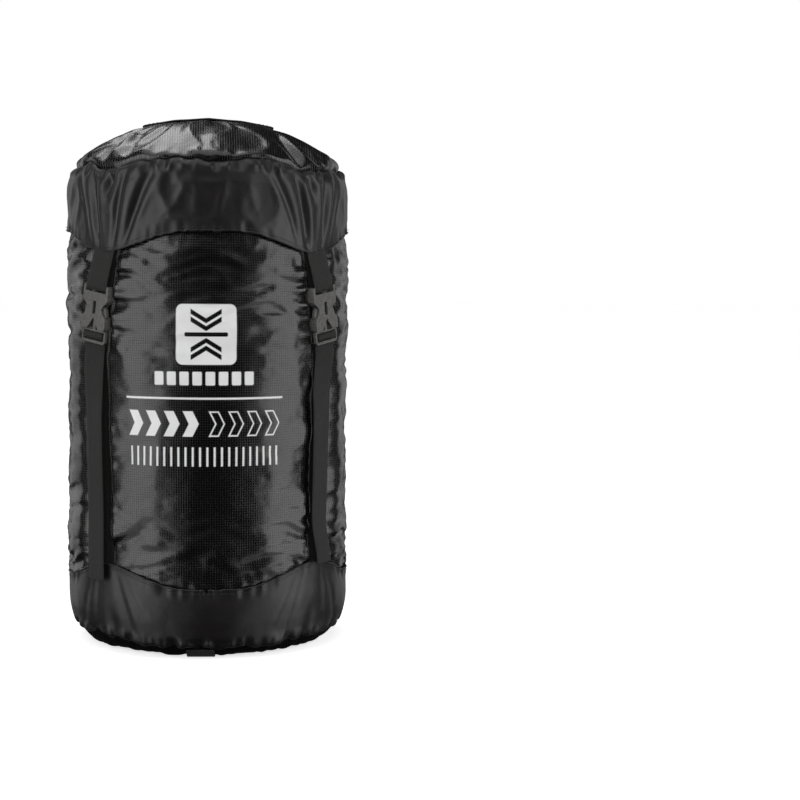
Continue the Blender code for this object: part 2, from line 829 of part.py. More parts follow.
def tongue_mesh():
    """The male half without its prongs: shoulder, guide rib and strap adjuster."""
    half = TONGUE_HALF_WIDTH
    edge = [(half - 0.0015, -SHOULDER_D), (half, -SHOULDER_D - 0.0012)]
    lip = [(half, -BUCKLE_LENGTH + 0.002), (half - 0.002, -BUCKLE_LENGTH)]
    guide = [(0.0014, -0.0245), (0.0016, -0.0260), (0.0016, -SHOULDER_D)]
    outline = mirrored(guide + edge + lip)
    middle_top = -MIDDLE_BAR_D + MIDDLE_BAR_LENGTH / 2
    middle_low = -MIDDLE_BAR_D - MIDDLE_BAR_LENGTH / 2
    upper_slot = box_outline(SLOT_HALF_WIDTH, middle_top, -ADJUSTER_TOP_D)
    lower_slot = box_outline(SLOT_HALF_WIDTH, -END_BAR_D, middle_low)
    body = plate("tongue", [outline, upper_slot, lower_slot], TONGUE_THICKNESS, PLASTIC)
    wide = SLOT_HALF_WIDTH
    deep = TONGUE_THICKNESS
    bar = TONGUE_BAR_HALF
    top = -ADJUSTER_TOP_D
    end = -BUCKLE_LENGTH - 0.01
    boxes = {
        "middle bar front": ((-wide, -END_BAR_D, bar), (wide, top, deep)),
        "middle bar back": ((-wide, end, -deep), (wide, top, -bar)),
    }
    for name, (low, high) in boxes.items():
        cut(body, add_cutter(name, box_mesh(name, low, high)))
    mesh = evaluated_mesh(body, "buckle_tongue")
    bpy.data.objects.remove(body)
    return mesh


def box_outline(half_width, low, high):
    return [(-half_width, low), (half_width, low), (half_width, high), (-half_width, high)]


def prong_mesh():
    """The spring arm at positive X, with the thumb pad that shows in the socket's window."""
    pad_guide = [(0.0137, -0.0282), (0.0139, -0.0250), (0.0128, -0.0215), (0.0108, -0.0187)]
    pad = smooth_path(pad_guide + [(0.0090, -0.0192)], steps=2)
    inner = [(0.0086, -0.0215), (0.0090, -0.0260), (0.0082, -0.0330), (0.0077, -0.0395)]
    outer = [(0.0098, -0.0395), (0.0110, -0.0360), (0.0112, -0.0290), (0.0116, -0.0283)]
    outline = pad + inner + outer
    arm = plate("prong", [outline], PRONG_THICKNESS, PLASTIC)
    mesh = evaluated_mesh(arm, "buckle_prong")
    bpy.data.objects.remove(arm)
    return mesh


def build_buckles():
    socket = socket_mesh()
    tongue = tongue_mesh()
    prong = prong_mesh()
    for mesh in (socket, tongue, prong):
        mesh.shade_smooth()
        mesh.set_sharp_from_angle(angle=math.radians(35))
    pivot = Vector((PRONG_PIVOT_U, -SHOULDER_D, 0))
    mirror = Matrix.Scale(-1, 4, Vector((1, 0, 0)))
    left_prong = prong.copy()
    left_prong.transform(mirror)
    left_prong.flip_normals()
    for place, (azimuth, lean_side, _) in STRAPS.items():
        frame = buckle_frame(azimuth, lean_side)
        add_object("buckle_socket_" + place, socket, PLASTIC).matrix_world = frame
        add_object("buckle_tongue_" + place, tongue, PLASTIC).matrix_world = frame
        for side, sign, mesh in (("right", 1, prong), ("left", -1, left_prong)):
            hinge = Vector((sign * pivot.x, pivot.y, 0))
            root = bpy.data.objects.new("prong_pivot_" + side + "_" + place, None)
            root.empty_display_size = 0.004
            PARTS.objects.link(root)
            root.matrix_world = frame @ Matrix.Translation(hinge)
            arm = add_object("buckle_prong_" + side + "_" + place, mesh, PLASTIC)
            arm.parent = root
            arm.location = -hinge


clear_scene()
PARTS = new_collection("compression sack")
CUTTERS = new_collection("cutters")
RIPSTOP = new_material("black ripstop", (0.012, 0.012, 0.013), 0.35)
TAFFETA = new_material("charcoal taffeta", (0.024, 0.022, 0.025), 0.55)
WEBBING = new_material("charcoal webbing", (0.027, 0.026, 0.025), 0.8)
PLASTIC = new_material("dark grey acetal", (0.030, 0.030, 0.031), 0.4)
CORD = new_material("black cord", (0.015, 0.015, 0.016), 0.8)
STEEL = new_material("spring steel", (0.55, 0.55, 0.56), 0.3, metallic=1.0)

build_base()
build_body()
build_lid()
for strap_place, (strap_azimuth, strap_side, strap_tail_end) in STRAPS.items():
    build_upper_strap(strap_place, strap_azimuth, strap_side)
    build_strap(strap_place, strap_azimuth, strap_side, strap_tail_end)
build_buckles()
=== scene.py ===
"""Looks of a compression sack that stands full: glossy black ripstop body and ends,
charcoal taffeta skirts with scalloped hems, four webbing straps with side-release
buckles, webbing handles, and a drawn mouth under the fitted lid.

Lengths are in metres. The front is -Y, and azimuths turn from +X towards +Y.
"""

import json
from math import asin, atan2, ceil, copysign, cos, dist, exp, hypot, pi, radians, remainder, sin

import bmesh
import bpy
import numpy as np
from mathutils import Matrix, Vector, noise


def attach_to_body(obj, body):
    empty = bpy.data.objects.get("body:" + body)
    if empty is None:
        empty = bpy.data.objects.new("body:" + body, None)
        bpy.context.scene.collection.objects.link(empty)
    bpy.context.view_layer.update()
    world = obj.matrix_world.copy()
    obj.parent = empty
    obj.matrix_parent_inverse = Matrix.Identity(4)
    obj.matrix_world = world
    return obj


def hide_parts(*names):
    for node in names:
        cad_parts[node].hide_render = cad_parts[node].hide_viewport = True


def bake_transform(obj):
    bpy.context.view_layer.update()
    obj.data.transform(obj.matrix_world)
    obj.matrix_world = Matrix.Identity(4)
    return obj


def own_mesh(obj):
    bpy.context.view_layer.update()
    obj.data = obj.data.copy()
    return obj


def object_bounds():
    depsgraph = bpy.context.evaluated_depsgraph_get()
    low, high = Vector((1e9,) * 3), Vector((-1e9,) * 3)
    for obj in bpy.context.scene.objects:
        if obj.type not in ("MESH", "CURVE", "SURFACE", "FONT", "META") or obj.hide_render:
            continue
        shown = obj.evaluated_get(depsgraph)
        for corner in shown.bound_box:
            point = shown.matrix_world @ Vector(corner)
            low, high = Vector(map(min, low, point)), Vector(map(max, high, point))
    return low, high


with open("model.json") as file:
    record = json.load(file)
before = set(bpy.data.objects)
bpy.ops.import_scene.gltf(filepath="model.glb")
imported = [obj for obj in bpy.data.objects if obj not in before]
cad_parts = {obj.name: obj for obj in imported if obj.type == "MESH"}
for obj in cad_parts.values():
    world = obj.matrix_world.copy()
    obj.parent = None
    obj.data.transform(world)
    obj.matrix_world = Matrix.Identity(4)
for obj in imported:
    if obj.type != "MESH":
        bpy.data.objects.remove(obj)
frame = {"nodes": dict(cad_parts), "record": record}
CAD_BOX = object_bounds()
FULL_TURN = 2 * pi
UPWARD = Vector((0, 0, 1))

# Driving dimensions, as in the CAD source
SACK_RADIUS = 0.1306
LID_SEAM_Z = 0.4445
LID_SEAM_DIP = 0.0065
BASE_SEAM_Z = 0.0105
HEM_FLAT_ANGLE = radians(-2)
HEM_ARCH_ANGLE = radians(36)
MOUTH_Z = 0.439
BASE_FLAT_RADIUS = 0.106
BASE_RIM_RADIUS = 0.1212
BASE_RIM_RISE = 0.008
BASE_RIM_CURVE = 1.8

# Height of each hem at the straps and midway between them
LID_HEM = (0.363, 0.382)
BASE_HEM = (0.083, 0.064)

# Seeds of each skirt's folds, its seam and its hem
LID_SEEDS = (11, 31, 41)
BASE_SEEDS = (21, 35, 51)

CHANNEL_RADIUS = 0.0245
CHANNEL_OUTER = 0.0029
CORD_RADIUS = 0.0015
LOCK_Y = -0.0465
LOCK_Z = MOUTH_Z + 0.0077
BASE_HANDLE_HALF_LENGTH = 0.1195
BASE_HANDLE_TURN = radians(-3.5)

WEBBING_WIDTH = 0.025
WEBBING_THICKNESS = 0.0013
STRAP_RADIUS = 0.12775
STRAP_ROOT_Z = 0.058
UPPER_STRAP_ROOT_Z = 0.378
TAIL_RADIUS = 0.1340
STRAP_FROM_FRONT = 47
FRONT_LEFT_FROM_FRONT = 44
STRAP_LEAN = radians(8.5)
LEAN_END_Z = 0.278
RUN_BEND = 0.025
TAIL_BEND = 0.040
TAIL_LEAN = radians(-1)
TAIL_TWIST = radians(-11)

# Heights below which a loose end drifts in, twists and kicks out, each over EASE_LENGTH
DRIFT_TOP = 0.283
TWIST_TOP = 0.265
KICK_TOP = 0.125
EASE_LENGTH = 0.05

BUCKLE_TOP_Z = 0.333
BUCKLE_PLANE = 0.1320
TOP_BAR = 0.003
MIDDLE_BAR_D = 0.04575
UPPER_STRAP_WRAP = 0.00325
LOWER_STRAP_WRAP = 0.00255

# Azimuth in degrees of each strap, the way round that it leans, and its loose end's height
STRAPS = {
    "front_left": (270 - FRONT_LEFT_FROM_FRONT, -1, 0.067),
    "front_right": (270 + STRAP_FROM_FRONT, 1, 0.080),
    "back_right": (90 - STRAP_FROM_FRONT, -1, 0.070),
    "back_left": (90 + STRAP_FROM_FRONT, 1, 0.074),
}


# Camera, lights and floor

CAMERA_PLACE = (0.0, -1.795, 0.364)
CAMERA_LENS = 85
CAMERA_PITCH = 85.545
CAMERA_ROLL = -0.45
CAMERA_YAW = -5.774


def stand(name, data, place=(0, 0, 0)):
    """An object made from its data and linked to the scene."""
    item = bpy.data.objects.new(name, data)
    item.location = place
    bpy.context.scene.collection.objects.link(item)
    return item


def add_camera():
    data = bpy.data.cameras.new("camera")
    data.lens = CAMERA_LENS
    data.clip_end = 100
    camera = stand("camera", data, CAMERA_PLACE)
    camera.rotation_euler = [radians(turn) for turn in (CAMERA_PITCH, CAMERA_ROLL, CAMERA_YAW)]
    bpy.context.scene.camera = camera


def softbox(name, azimuth, distance, height, size, energy, aim=(0, 0, 0.25)):
    """A rectangular light. Its azimuth is in degrees from the front, rightwards."""
    data = bpy.data.lights.new(name, "AREA")
    data.shape = "RECTANGLE"
    data.size, data.size_y = size
    data.energy = energy
    angle = radians(azimuth)
    place = Vector((distance * sin(angle), -distance * cos(angle), height))
    light = stand(name, data, place)
    light.rotation_euler = (Vector(aim) - place).to_track_quat("-Z", "Y").to_euler()
    return light


def add_lights():
    softbox("left softbox", -60, 2.2, 0.50, (1.6, 2.2), 27)
    softbox("right softbox", 66, 1.7, 0.50, (1.2, 2.0), 18)
    softbox("top softbox", -160, 0.80, 1.55, (0.62, 0.9), 4.6, (0, 0, 0.46))
    softbox("left rear softbox", -136, 2.0, 0.50, (1.3, 2.0), 5.0)
    softbox("right rear softbox", 140, 1.9, 0.50, (1.1, 2.0), 3.6)
    softbox("left floor bounce", -58, 1.5, -0.75, (1.4, 1.0), 3.8)
    softbox("right floor bounce", 62, 1.5, -0.75, (1.3, 1.0), 3.8)
    fill = softbox("front fill", 0, 2.4, 0.60, (1.6, 1.6), 21)
    fill.visible_glossy = False
    sun = bpy.data.lights.new("sky light", "SUN")
    sun.energy = 1.2
    sun.angle = radians(70)
    stand("sky light", sun).rotation_euler = (radians(12), radians(-10), 0)


def add_world():
    """Nearly black to the object, and white to the camera."""
    bpy.context.scene.view_settings.view_transform = "Standard"
    world = bpy.data.worlds.new("studio")
    bpy.context.scene.world = world
    world.use_nodes = True
    nodes = Nodes(world.node_tree)
    seen = nodes.add("LightPath", "Is Camera Ray", {})
    nodes.put(nodes.mix(seen, (0.012,) * 3, (1, 1, 1)), nodes.tree.nodes["Background"].inputs["Color"])


def add_floor():
    bm = bmesh.new()
    bmesh.ops.create_grid(bm, x_segments=8, y_segments=8, size=12)
    mesh = bpy.data.meshes.new("floor")
    bm.to_mesh(mesh)
    bm.free()
    floor = stand("floor", mesh, (0, 0, CAD_BOX[0][2] - 0.0002))
    floor.visible_glossy = False
    floor.visible_diffuse = False
    mesh.materials.append(floor_material("pale floor"))


# Materials


def math_step(operation):
    """A method that adds one math node after its field."""
    return lambda first, *others: first.nodes.math(operation, first, *others)


class Field:
    """A shader value that takes Python's arithmetic."""

    def __init__(self, nodes, socket):
        self.nodes = nodes
        self.socket = socket

    __add__ = math_step("ADD")
    __sub__ = math_step("SUBTRACT")
    __mul__ = math_step("MULTIPLY")
    __truediv__ = math_step("DIVIDE")
    __abs__ = math_step("ABSOLUTE")
    angle = math_step("ARCTAN2")
    fold = math_step("PINGPONG")
    fraction = math_step("FRACT")
    highest = math_step("MAXIMUM")
    lowest = math_step("MINIMUM")
    root = math_step("SQRT")
    sine = math_step("SINE")


class Nodes:
    """Short calls that add nodes to a tree and link them."""

    def __init__(self, tree):
        self.tree = tree

    def put(self, value, socket):
        if isinstance(value, Field):
            self.tree.links.new(value.socket, socket)
        elif socket.type == "RGBA":
            socket.default_value = (*value, 1)
        else:
            socket.default_value = value

    def add(self, kind, output, inputs, **settings):
        node = self.tree.nodes.new("ShaderNode" + kind)
        for name, value in settings.items():
            setattr(node, name, value)
        for name, value in inputs.items():
            self.put(value, node.inputs[name])
        return Field(self, node.outputs[output])

    def math(self, operation, *values):
        return self.add("Math", 0, dict(enumerate(values)), operation=operation)

    def ramp(self, value, low, high, to_low=0.0, to_high=1.0):
        ends = {"From Min": low, "From Max": high, "To Min": to_low, "To Max": to_high}
        return self.add("MapRange", "Result", {"Value": value, **ends})

    def noise(self, place, scale, detail=3.0, kind="FBM"):
        inputs = {"Vector": place, "Scale": scale, "Detail": detail}
        return self.add("TexNoise", "Fac", inputs, noise_type=kind)

    def mix(self, share, low, high):
        return self.add("Mix", "Result", {"Factor": share, "A": low, "B": high}, data_type="RGBA")

    def stretch(self, vector, scale):
        return self.add("VectorMath", 0, {0: vector, 1: scale}, operation="MULTIPLY")

    def split(self, vector):
        node = self.add("SeparateXYZ", 0, {0: vector}).socket.node
        return [Field(self, output) for output in node.outputs]

    def place(self, name="rest"):
        """A point's own attribute: where the cloth lay at rest, or across and along webbing."""
        return self.add("Attribute", "Vector", {}, attribute_name=name)

    def object_place(self):
        return self.add("TexCoord", "Object", {})

    def bump(self, height, distance, normal=None, strength=1.0):
        inputs = {"Height": height, "Distance": distance, "Strength": strength}
        if normal is not None:
            inputs["Normal"] = normal
        return self.add("Bump", "Normal", inputs)


class Material(Nodes):
    """A new material, whose shader's sockets are set at the start or in finish."""

    def __init__(self, name, **sockets):
        self.material = bpy.data.materials.new(name)
        self.material.use_nodes = True
        super().__init__(self.material.node_tree)
        self.finish(**sockets)

    def finish(self, **sockets):
        shader = self.tree.nodes["Principled BSDF"]
        for name, value in sockets.items():
            self.put(value, shader.inputs[name.replace("_", " ")])
        return self.material


RIPSTOP_PITCH = 0.0022
RIPSTOP_LINE = 0.16
THREADS_PER_CELL = 9


def ripstop_cells(nodes, flat):
    """Coordinates in cells of the ripstop, round the body or across a flat panel."""
    x, y, z = nodes.split(nodes.place())
    if flat:
        return x / RIPSTOP_PITCH, y / RIPSTOP_PITCH
    cells = round(FULL_TURN * SACK_RADIUS / RIPSTOP_PITCH)
    return y.angle(x) * (cells / FULL_TURN), z / RIPSTOP_PITCH


def ripstop_lines(nodes, across, up):
    """Thicker threads of ripstop: 1 on the lines of a square grid whose cells are 1 by 1."""
    offs = [abs(value.fraction() - 0.5) for value in (across, up)]
    lines = [nodes.ramp(off, RIPSTOP_LINE, RIPSTOP_LINE * 0.4) for off in offs]
    return lines[0].highest(lines[1])


def rumpled(nodes, place, swells, creases):
    """Soft swells with sharp creases on them, each as a scale, a height and a strength."""
    scale, height, strength = swells
    soft = nodes.bump(nodes.noise(place, scale), height, strength=strength)
    scale, height, strength = creases
    return nodes.bump(nodes.noise(place, scale, 3.0, "RIDGED_MULTIFRACTAL"), height, soft, strength)


def ripstop_material(name, flat=False, printed=False):
    nodes = Material(name, Specular_IOR_Level=0.5, Coat_Weight=0.25, Coat_Roughness=0.16)
    across, up = ripstop_cells(nodes, flat)
    lines = ripstop_lines(nodes, across, up)
    threads = [(value * (FULL_TURN * THREADS_PER_CELL)).sine() for value in (across, up)]
    place = nodes.place()
    creased = rumpled(nodes, place, (38, 0.0022, 0.5), (45, 0.0006, 0.6))
    woven = nodes.bump(threads[0] * threads[1] * 0.1, 0.0001, creased, 0.4)
    rough = nodes.ramp(nodes.noise(place, 14, 2.0), 0.3, 0.7, 0.13, 0.21) + lines * 0.26
    colour = nodes.mix(lines, (0.0020, 0.0020, 0.0021), (0.0060, 0.0060, 0.0062))
    if printed:
        white = print_mask(nodes)
        colour = nodes.mix(white, colour, (0.80, 0.80, 0.80))
        rough = rough + white * 0.25
    normal = nodes.bump(lines, 0.00008, woven, 0.6)
    return nodes.finish(Normal=normal, Base_Color=colour, Roughness=rough)


# The print, in metres: centres and half sizes across and up
PRINT_SOFTNESS = 0.00035
PRINT_MIDDLE = -0.0041
EMBLEM = (PRINT_MIDDLE + 0.0021, 0.2913, 0.0267, 0.0267)
BLOCKS = (PRINT_MIDDLE, 0.2525, 0.0460, 0.0060)
LINE = (PRINT_MIDDLE, 0.2348, 0.0735, 0.0009)
CHEVRONS = (PRINT_MIDDLE, 0.2124, 0.0720, 0.0112)
TICKS = (PRINT_MIDDLE, 0.1833, 0.0700, 0.0085)
BLOCK_COUNT = 8
CHEVRON_COUNT = 4
TICK_COUNT = 22
OUTLINE = 0.0006
ARROW_TIPS = (0.0052, 0.0120)
ARROW_HALF_WIDTH = 0.0135
ARROW_SLOPE = 0.62


def print_box(across, up, half_width, half_height, corner=0.0):
    """A signed distance to a box with round corners about the origin."""
    beyond = abs(across) - (half_width - corner)
    above = abs(up) - (half_height - corner)
    squares = [value * value for value in (beyond.highest(0.0), above.highest(0.0))]
    far = (squares[0] + squares[1]).root()
    return far + beyond.highest(above).lowest(0.0) - corner


def repeated(across, half_width, count):
    """Folds a stretch of the across coordinate into count equal cells about their middles."""
    pitch = 2 * half_width / count
    return (((across + half_width) / pitch).fraction() - 0.5) * pitch


def emblem_distance(across, up):
    """A white tile with a dark bar squeezed between two arrowheads."""
    tile = print_box(across, up, *EMBLEM[2:], 0.0060)
    marks = print_box(across, up, 0.0190, 0.0019, 0.0014)
    height = abs(up)
    sides = abs(across)
    for tip in ARROW_TIPS:
        band = abs(height - sides * ARROW_SLOPE - tip) * 0.85 - 0.0019
        marks = marks.lowest(band.highest(sides - ARROW_HALF_WIDTH))
    return tile.highest(marks * -1.0)


def chevron_distance(across, up, half_width, half_height):
    """Arrowheads in a row, all pointing right."""
    cell = repeated(across, half_width, CHEVRON_COUNT)
    along = cell - half_height * 0.25 + abs(up) * 0.50
    band = (abs(along) - half_width / CHEVRON_COUNT * 0.52) * 0.9
    return band.highest(print_box(across, up, half_width, half_height))


def print_mask(nodes):
    """All of the print on the sack's front, as 1 on the ink."""
    x, y, z = nodes.split(nodes.place())
    round_front = x.angle(y * -1.0) * SACK_RADIUS

    def local(shape):
        return round_front - shape[0], z - shape[1]

    def row(shape, count, half_width, corner):
        across, up = local(shape)
        each = print_box(repeated(across, shape[2], count), up, half_width, shape[3], corner)
        return each.highest(print_box(across, up, *shape[2:]))

    blocks = row(BLOCKS, BLOCK_COUNT, BLOCKS[2] / BLOCK_COUNT * 0.72, 0.0012)
    line = print_box(*local(LINE), *LINE[2:], 0.0004)
    across, up = local(CHEVRONS)
    half = CHEVRONS[2] / 2 - 0.002
    shift = CHEVRONS[2] / 2 + 0.001
    solid = chevron_distance(across + shift, up, half, CHEVRONS[3])
    hollow = chevron_distance(across - shift, up, half, CHEVRONS[3])
    hollow = abs(hollow + OUTLINE) - OUTLINE
    ticks = row(TICKS, TICK_COUNT, 0.0009, 0.0004)
    total = None
    for distance in (emblem_distance(*local(EMBLEM)), blocks, line, solid, hollow, ticks):
        ink = nodes.ramp(distance, PRINT_SOFTNESS, -PRINT_SOFTNESS)
        total = ink if total is None else total.highest(ink)
    return total


def taffeta_material(name):
    nodes = Material(name, Specular_IOR_Level=0.5, Sheen_Weight=0.10, Sheen_Roughness=0.4)
    place = nodes.place()
    x, y, z = nodes.split(place)
    threads = (y.angle(x) * 900.0).sine() * (z * 6900.0).sine()
    slubs = nodes.noise(nodes.stretch(place, (40, 40, 900)), 1.0, 2.0)
    creased = rumpled(nodes, place, (30, 0.0020, 0.4), (40, 0.0004, 0.5))
    woven = nodes.bump(threads, 0.00003, creased, 0.5)
    return nodes.finish(
        Normal=nodes.bump(slubs, 0.00012, woven, 0.5),
        Roughness=nodes.ramp(nodes.noise(place, 16, 2.0), 0.3, 0.7, 0.37, 0.46),
        Base_Color=nodes.mix(slubs, (0.0062, 0.0053, 0.0062), (0.0110, 0.0094, 0.0108)),
    )


def webbing_material(name):
    """Ribs across the webbing, two smooth selvedges, and woven chevrons between."""
    nodes = Material(name, Roughness=0.72, Specular_IOR_Level=0.35, Sheen_Weight=0.08)
    across, along, _ = nodes.split(nodes.place("lie"))
    slant = along + across.fold(WEBBING_WIDTH / 8) * 0.8
    ribs = (slant * (FULL_TURN / 0.0011)).sine()
    wales = (across * (FULL_TURN / 0.0016)).sine()
    fuzz = nodes.noise(nodes.place(), 900, 2.0)
    soft = nodes.bump(fuzz, 0.0003, strength=0.25)
    return nodes.finish(
        Normal=nodes.bump(ribs + wales * 0.5, 0.00009, soft, 0.7),
        Base_Color=nodes.mix(ribs * 0.25 + fuzz, (0.0085, 0.0081, 0.0078), (0.0200, 0.0190, 0.0182)),
    )


def plastic_material(name):
    """Moulded black acetal: fine spark-eroded grain, rubbed smoother in patches. Its base colour is
    painted far lighter than black, as painted sheen that stands in for its highlights.
    """
    nodes = Material(name, Specular_IOR_Level=0.6)
    place = nodes.object_place()
    rubs = nodes.noise(place, 160)
    return nodes.finish(
        Normal=nodes.bump(nodes.noise(place, 2600, 2.0), 0.00005, strength=0.35),
        Roughness=nodes.ramp(rubs, 0.35, 0.7, 0.25, 0.31),
        # Painted sheen: this grey, much lighter than black acetal, stands in for the buckles'
        # highlights; the small mottle follows the rubbed patches
        Base_Color=nodes.mix(rubs, (0.105, 0.103, 0.101), (0.125, 0.122, 0.119)),
    )


def cord_material(name):
    """A braid of two sets of yarn."""
    nodes = Material(name, Roughness=0.7, Sheen_Weight=0.1)
    x, y, _ = nodes.split(nodes.object_place())
    braid = ((x + y) * 5200).sine() * ((x - y) * 5200).sine()
    share = nodes.ramp(braid, -1, 1)
    return nodes.finish(
        Normal=nodes.bump(braid, 0.0002, strength=0.6),
        Base_Color=nodes.mix(share, (0.010, 0.010, 0.011), (0.024, 0.024, 0.025)),
    )


def thread_material(name):
    nodes = Material(name, Roughness=0.5, Sheen_Weight=0.1)
    twist = nodes.noise(nodes.stretch(nodes.object_place(), (3000, 3000, 5000)), 1.0, 1.0)
    return nodes.finish(
        Normal=nodes.bump(twist, 0.0001, strength=0.5),
        Base_Color=nodes.mix(twist, (0.016, 0.015, 0.016), (0.034, 0.032, 0.034)),
    )


def steel_material(name):
    nodes = Material(name, Base_Color=(0.6, 0.6, 0.61), Metallic=1.0)
    drawn = nodes.noise(nodes.stretch(nodes.object_place(), (400, 4000, 4000)), 1.0, 2.0)
    return nodes.finish(Roughness=nodes.ramp(drawn, 0.3, 0.7, 0.22, 0.4))


def floor_material(name):
    nodes = Material(name, Base_Color=(0.86,) * 3, Roughness=0.9, Specular_IOR_Level=0.1)
    grain = nodes.noise(nodes.object_place(), 60, 4.0)
    return nodes.finish(
        Emission_Color=(1, 1, 1), Emission_Strength=0.68, Normal=nodes.bump(grain, 0.0004, strength=0.2)
    )


# Straps' lines


def strap_frame(azimuth):
    """Local X runs the way the azimuth grows, local Y up and local Z outward from the axis."""
    angle = radians(azimuth)
    outward = Vector((cos(angle), sin(angle), 0))
    return Matrix((UPWARD.cross(outward), UPWARD, outward)).transposed().to_4x4()


def strap_line(height, bend, last_lean):
    """Where a strap's middle lies: its place across, its height and its lean.

    height is counted along the strap. The strap leans as its buckle does down to
    LEAN_END_Z, turns over the length of bend, and then keeps last_lean.
    """
    straight = UPPER_STRAP_ROOT_Z - max(height, LEAN_END_Z)
    across = straight * sin(STRAP_LEAN)
    up = UPPER_STRAP_ROOT_Z - straight * cos(STRAP_LEAN)
    lean = STRAP_LEAN
    below = LEAN_END_Z
    while below > height + 1e-9:
        length = min(0.001, below - height)
        share = min((LEAN_END_Z - below + length / 2) / bend, 1.0)
        lean = STRAP_LEAN + (last_lean - STRAP_LEAN) * share * share * (3 - 2 * share)
        across += length * sin(lean)
        up -= length * cos(lean)
        below -= length
    return across, up, lean


def half_run_lean():
    """Half the lean that would bring a strap back from its buckle to its root at the base."""
    away = (UPPER_STRAP_ROOT_Z - LEAN_END_Z + RUN_BEND / 2) * sin(STRAP_LEAN)
    back = LEAN_END_Z - RUN_BEND / 2 - STRAP_ROOT_Z
    return 0.5 * -atan2(away, back)


RUN_LEAN = half_run_lean()


def smooth_path(points, steps=4):
    """A Catmull-Rom curve through the points."""
    points = [Vector(point) for point in points]
    ends = [points[0] * 2 - points[1], *points, points[-1] * 2 - points[-2]]
    path = []
    for a, b, c, d in zip(ends, ends[1:], ends[2:], ends[3:]):
        for step in range(steps):
            t = step / steps
            cubic = (3 * b - a - 3 * c + d) * t**3
            square = (2 * a - 5 * b + 4 * c - d) * t**2
            path.append((cubic + square + (c - a) * t + 2 * b) / 2)
    return path + [points[-1]]


def arc(centre, radius, start, end, steps=9):
    """Points on an arc from start to end, in degrees, as (outward, up)."""
    angles = [radians(start + (end - start) * step / steps) for step in range(steps + 1)]
    return [(centre[0] + radius * cos(a), centre[1] + radius * sin(a)) for a in angles]


def turn_from_strap(azimuth):
    """The angle from the nearest strap's root."""
    return min(abs(remainder(azimuth - radians(root), FULL_TURN)) for root, _, _ in STRAPS.values())


def from_nearest_strap(azimuth):
    """Distance round the sack from the middle of the nearest strap's root."""
    return turn_from_strap(azimuth) * SACK_RADIUS


def hem_height(azimuth, hem):
    """A hem is lowest or highest at each strap and arches between them."""
    strap_z, mid_z = hem
    share = clamp((turn_from_strap(azimuth) - HEM_FLAT_ANGLE) / (HEM_ARCH_ANGLE - HEM_FLAT_ANGLE))
    return strap_z + (mid_z - strap_z) * share * share * (3 - 2 * share)


# Cloth


def turns(count):
    """Azimuths all the way round, at equal steps."""
    return [FULL_TURN * number / count for number in range(count)]


def polar(azimuth, radius, height):
    return (radius * cos(azimuth), radius * sin(azimuth), height)


def clamp(value):
    return min(max(value, 0), 1)


def smooth_step(value, low, high):
    share = np.clip((value - low) / (high - low), 0, 1)
    return share * share * (3 - 2 * share)


def ripple(azimuth, height, pitch, seed):
    """Smooth noise from -1 to 1 on a cylinder's surface, with bumps about pitch apart."""
    scale = 1 / pitch
    place = Vector((cos(azimuth), sin(azimuth), 0)) * SACK_RADIUS * scale
    place.z = height * scale
    return noise.noise(place + Vector((seed * 17.3, seed * 5.1, seed * 9.7)))


def crease(azimuth, height, pitch, flatness, seed):
    """Sharp creases with rounded folds between, from -1 to 1.

    They run level where flatness is below 1 and upright where it is above 1.
    """
    warp = 0.5 * ripple(azimuth, height, pitch * 2, seed + 60)
    warped = azimuth * flatness + warp * pitch / SACK_RADIUS
    ridge = ripple(warped, (height + warp * pitch) / flatness, pitch, seed)
    return 1 - min(4 * abs(ridge), 2)


def tube_faces(rows, columns):
    faces = []
    for low in range(0, (rows - 1) * columns, columns):
        high = low + columns
        for column in range(columns):
            after = (column + 1) % columns
            faces.append((low + column, low + after, high + after, high + column))
    return faces


def disc_faces(rows, columns):
    """Rings of quads with a fan of triangles to a last point in the middle."""
    faces = tube_faces(rows, columns)
    low = (rows - 1) * columns
    fan = [(low + k, low + (k + 1) % columns, low + columns) for k in range(columns)]
    return faces + fan


def new_mesh(name, points, faces, material):
    mesh = bpy.data.meshes.new(name)
    mesh.from_pydata([tuple(point) for point in points], [], faces)
    mesh.materials.append(material)
    return stand(name, mesh)


def attach(item, body, slot, *replaced):
    """Which body a piece rides on, and the CAD nodes it stands for, which it hides; its material slot is
    not used.
    """
    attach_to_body(item, body)
    if replaced:
        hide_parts(*replaced)


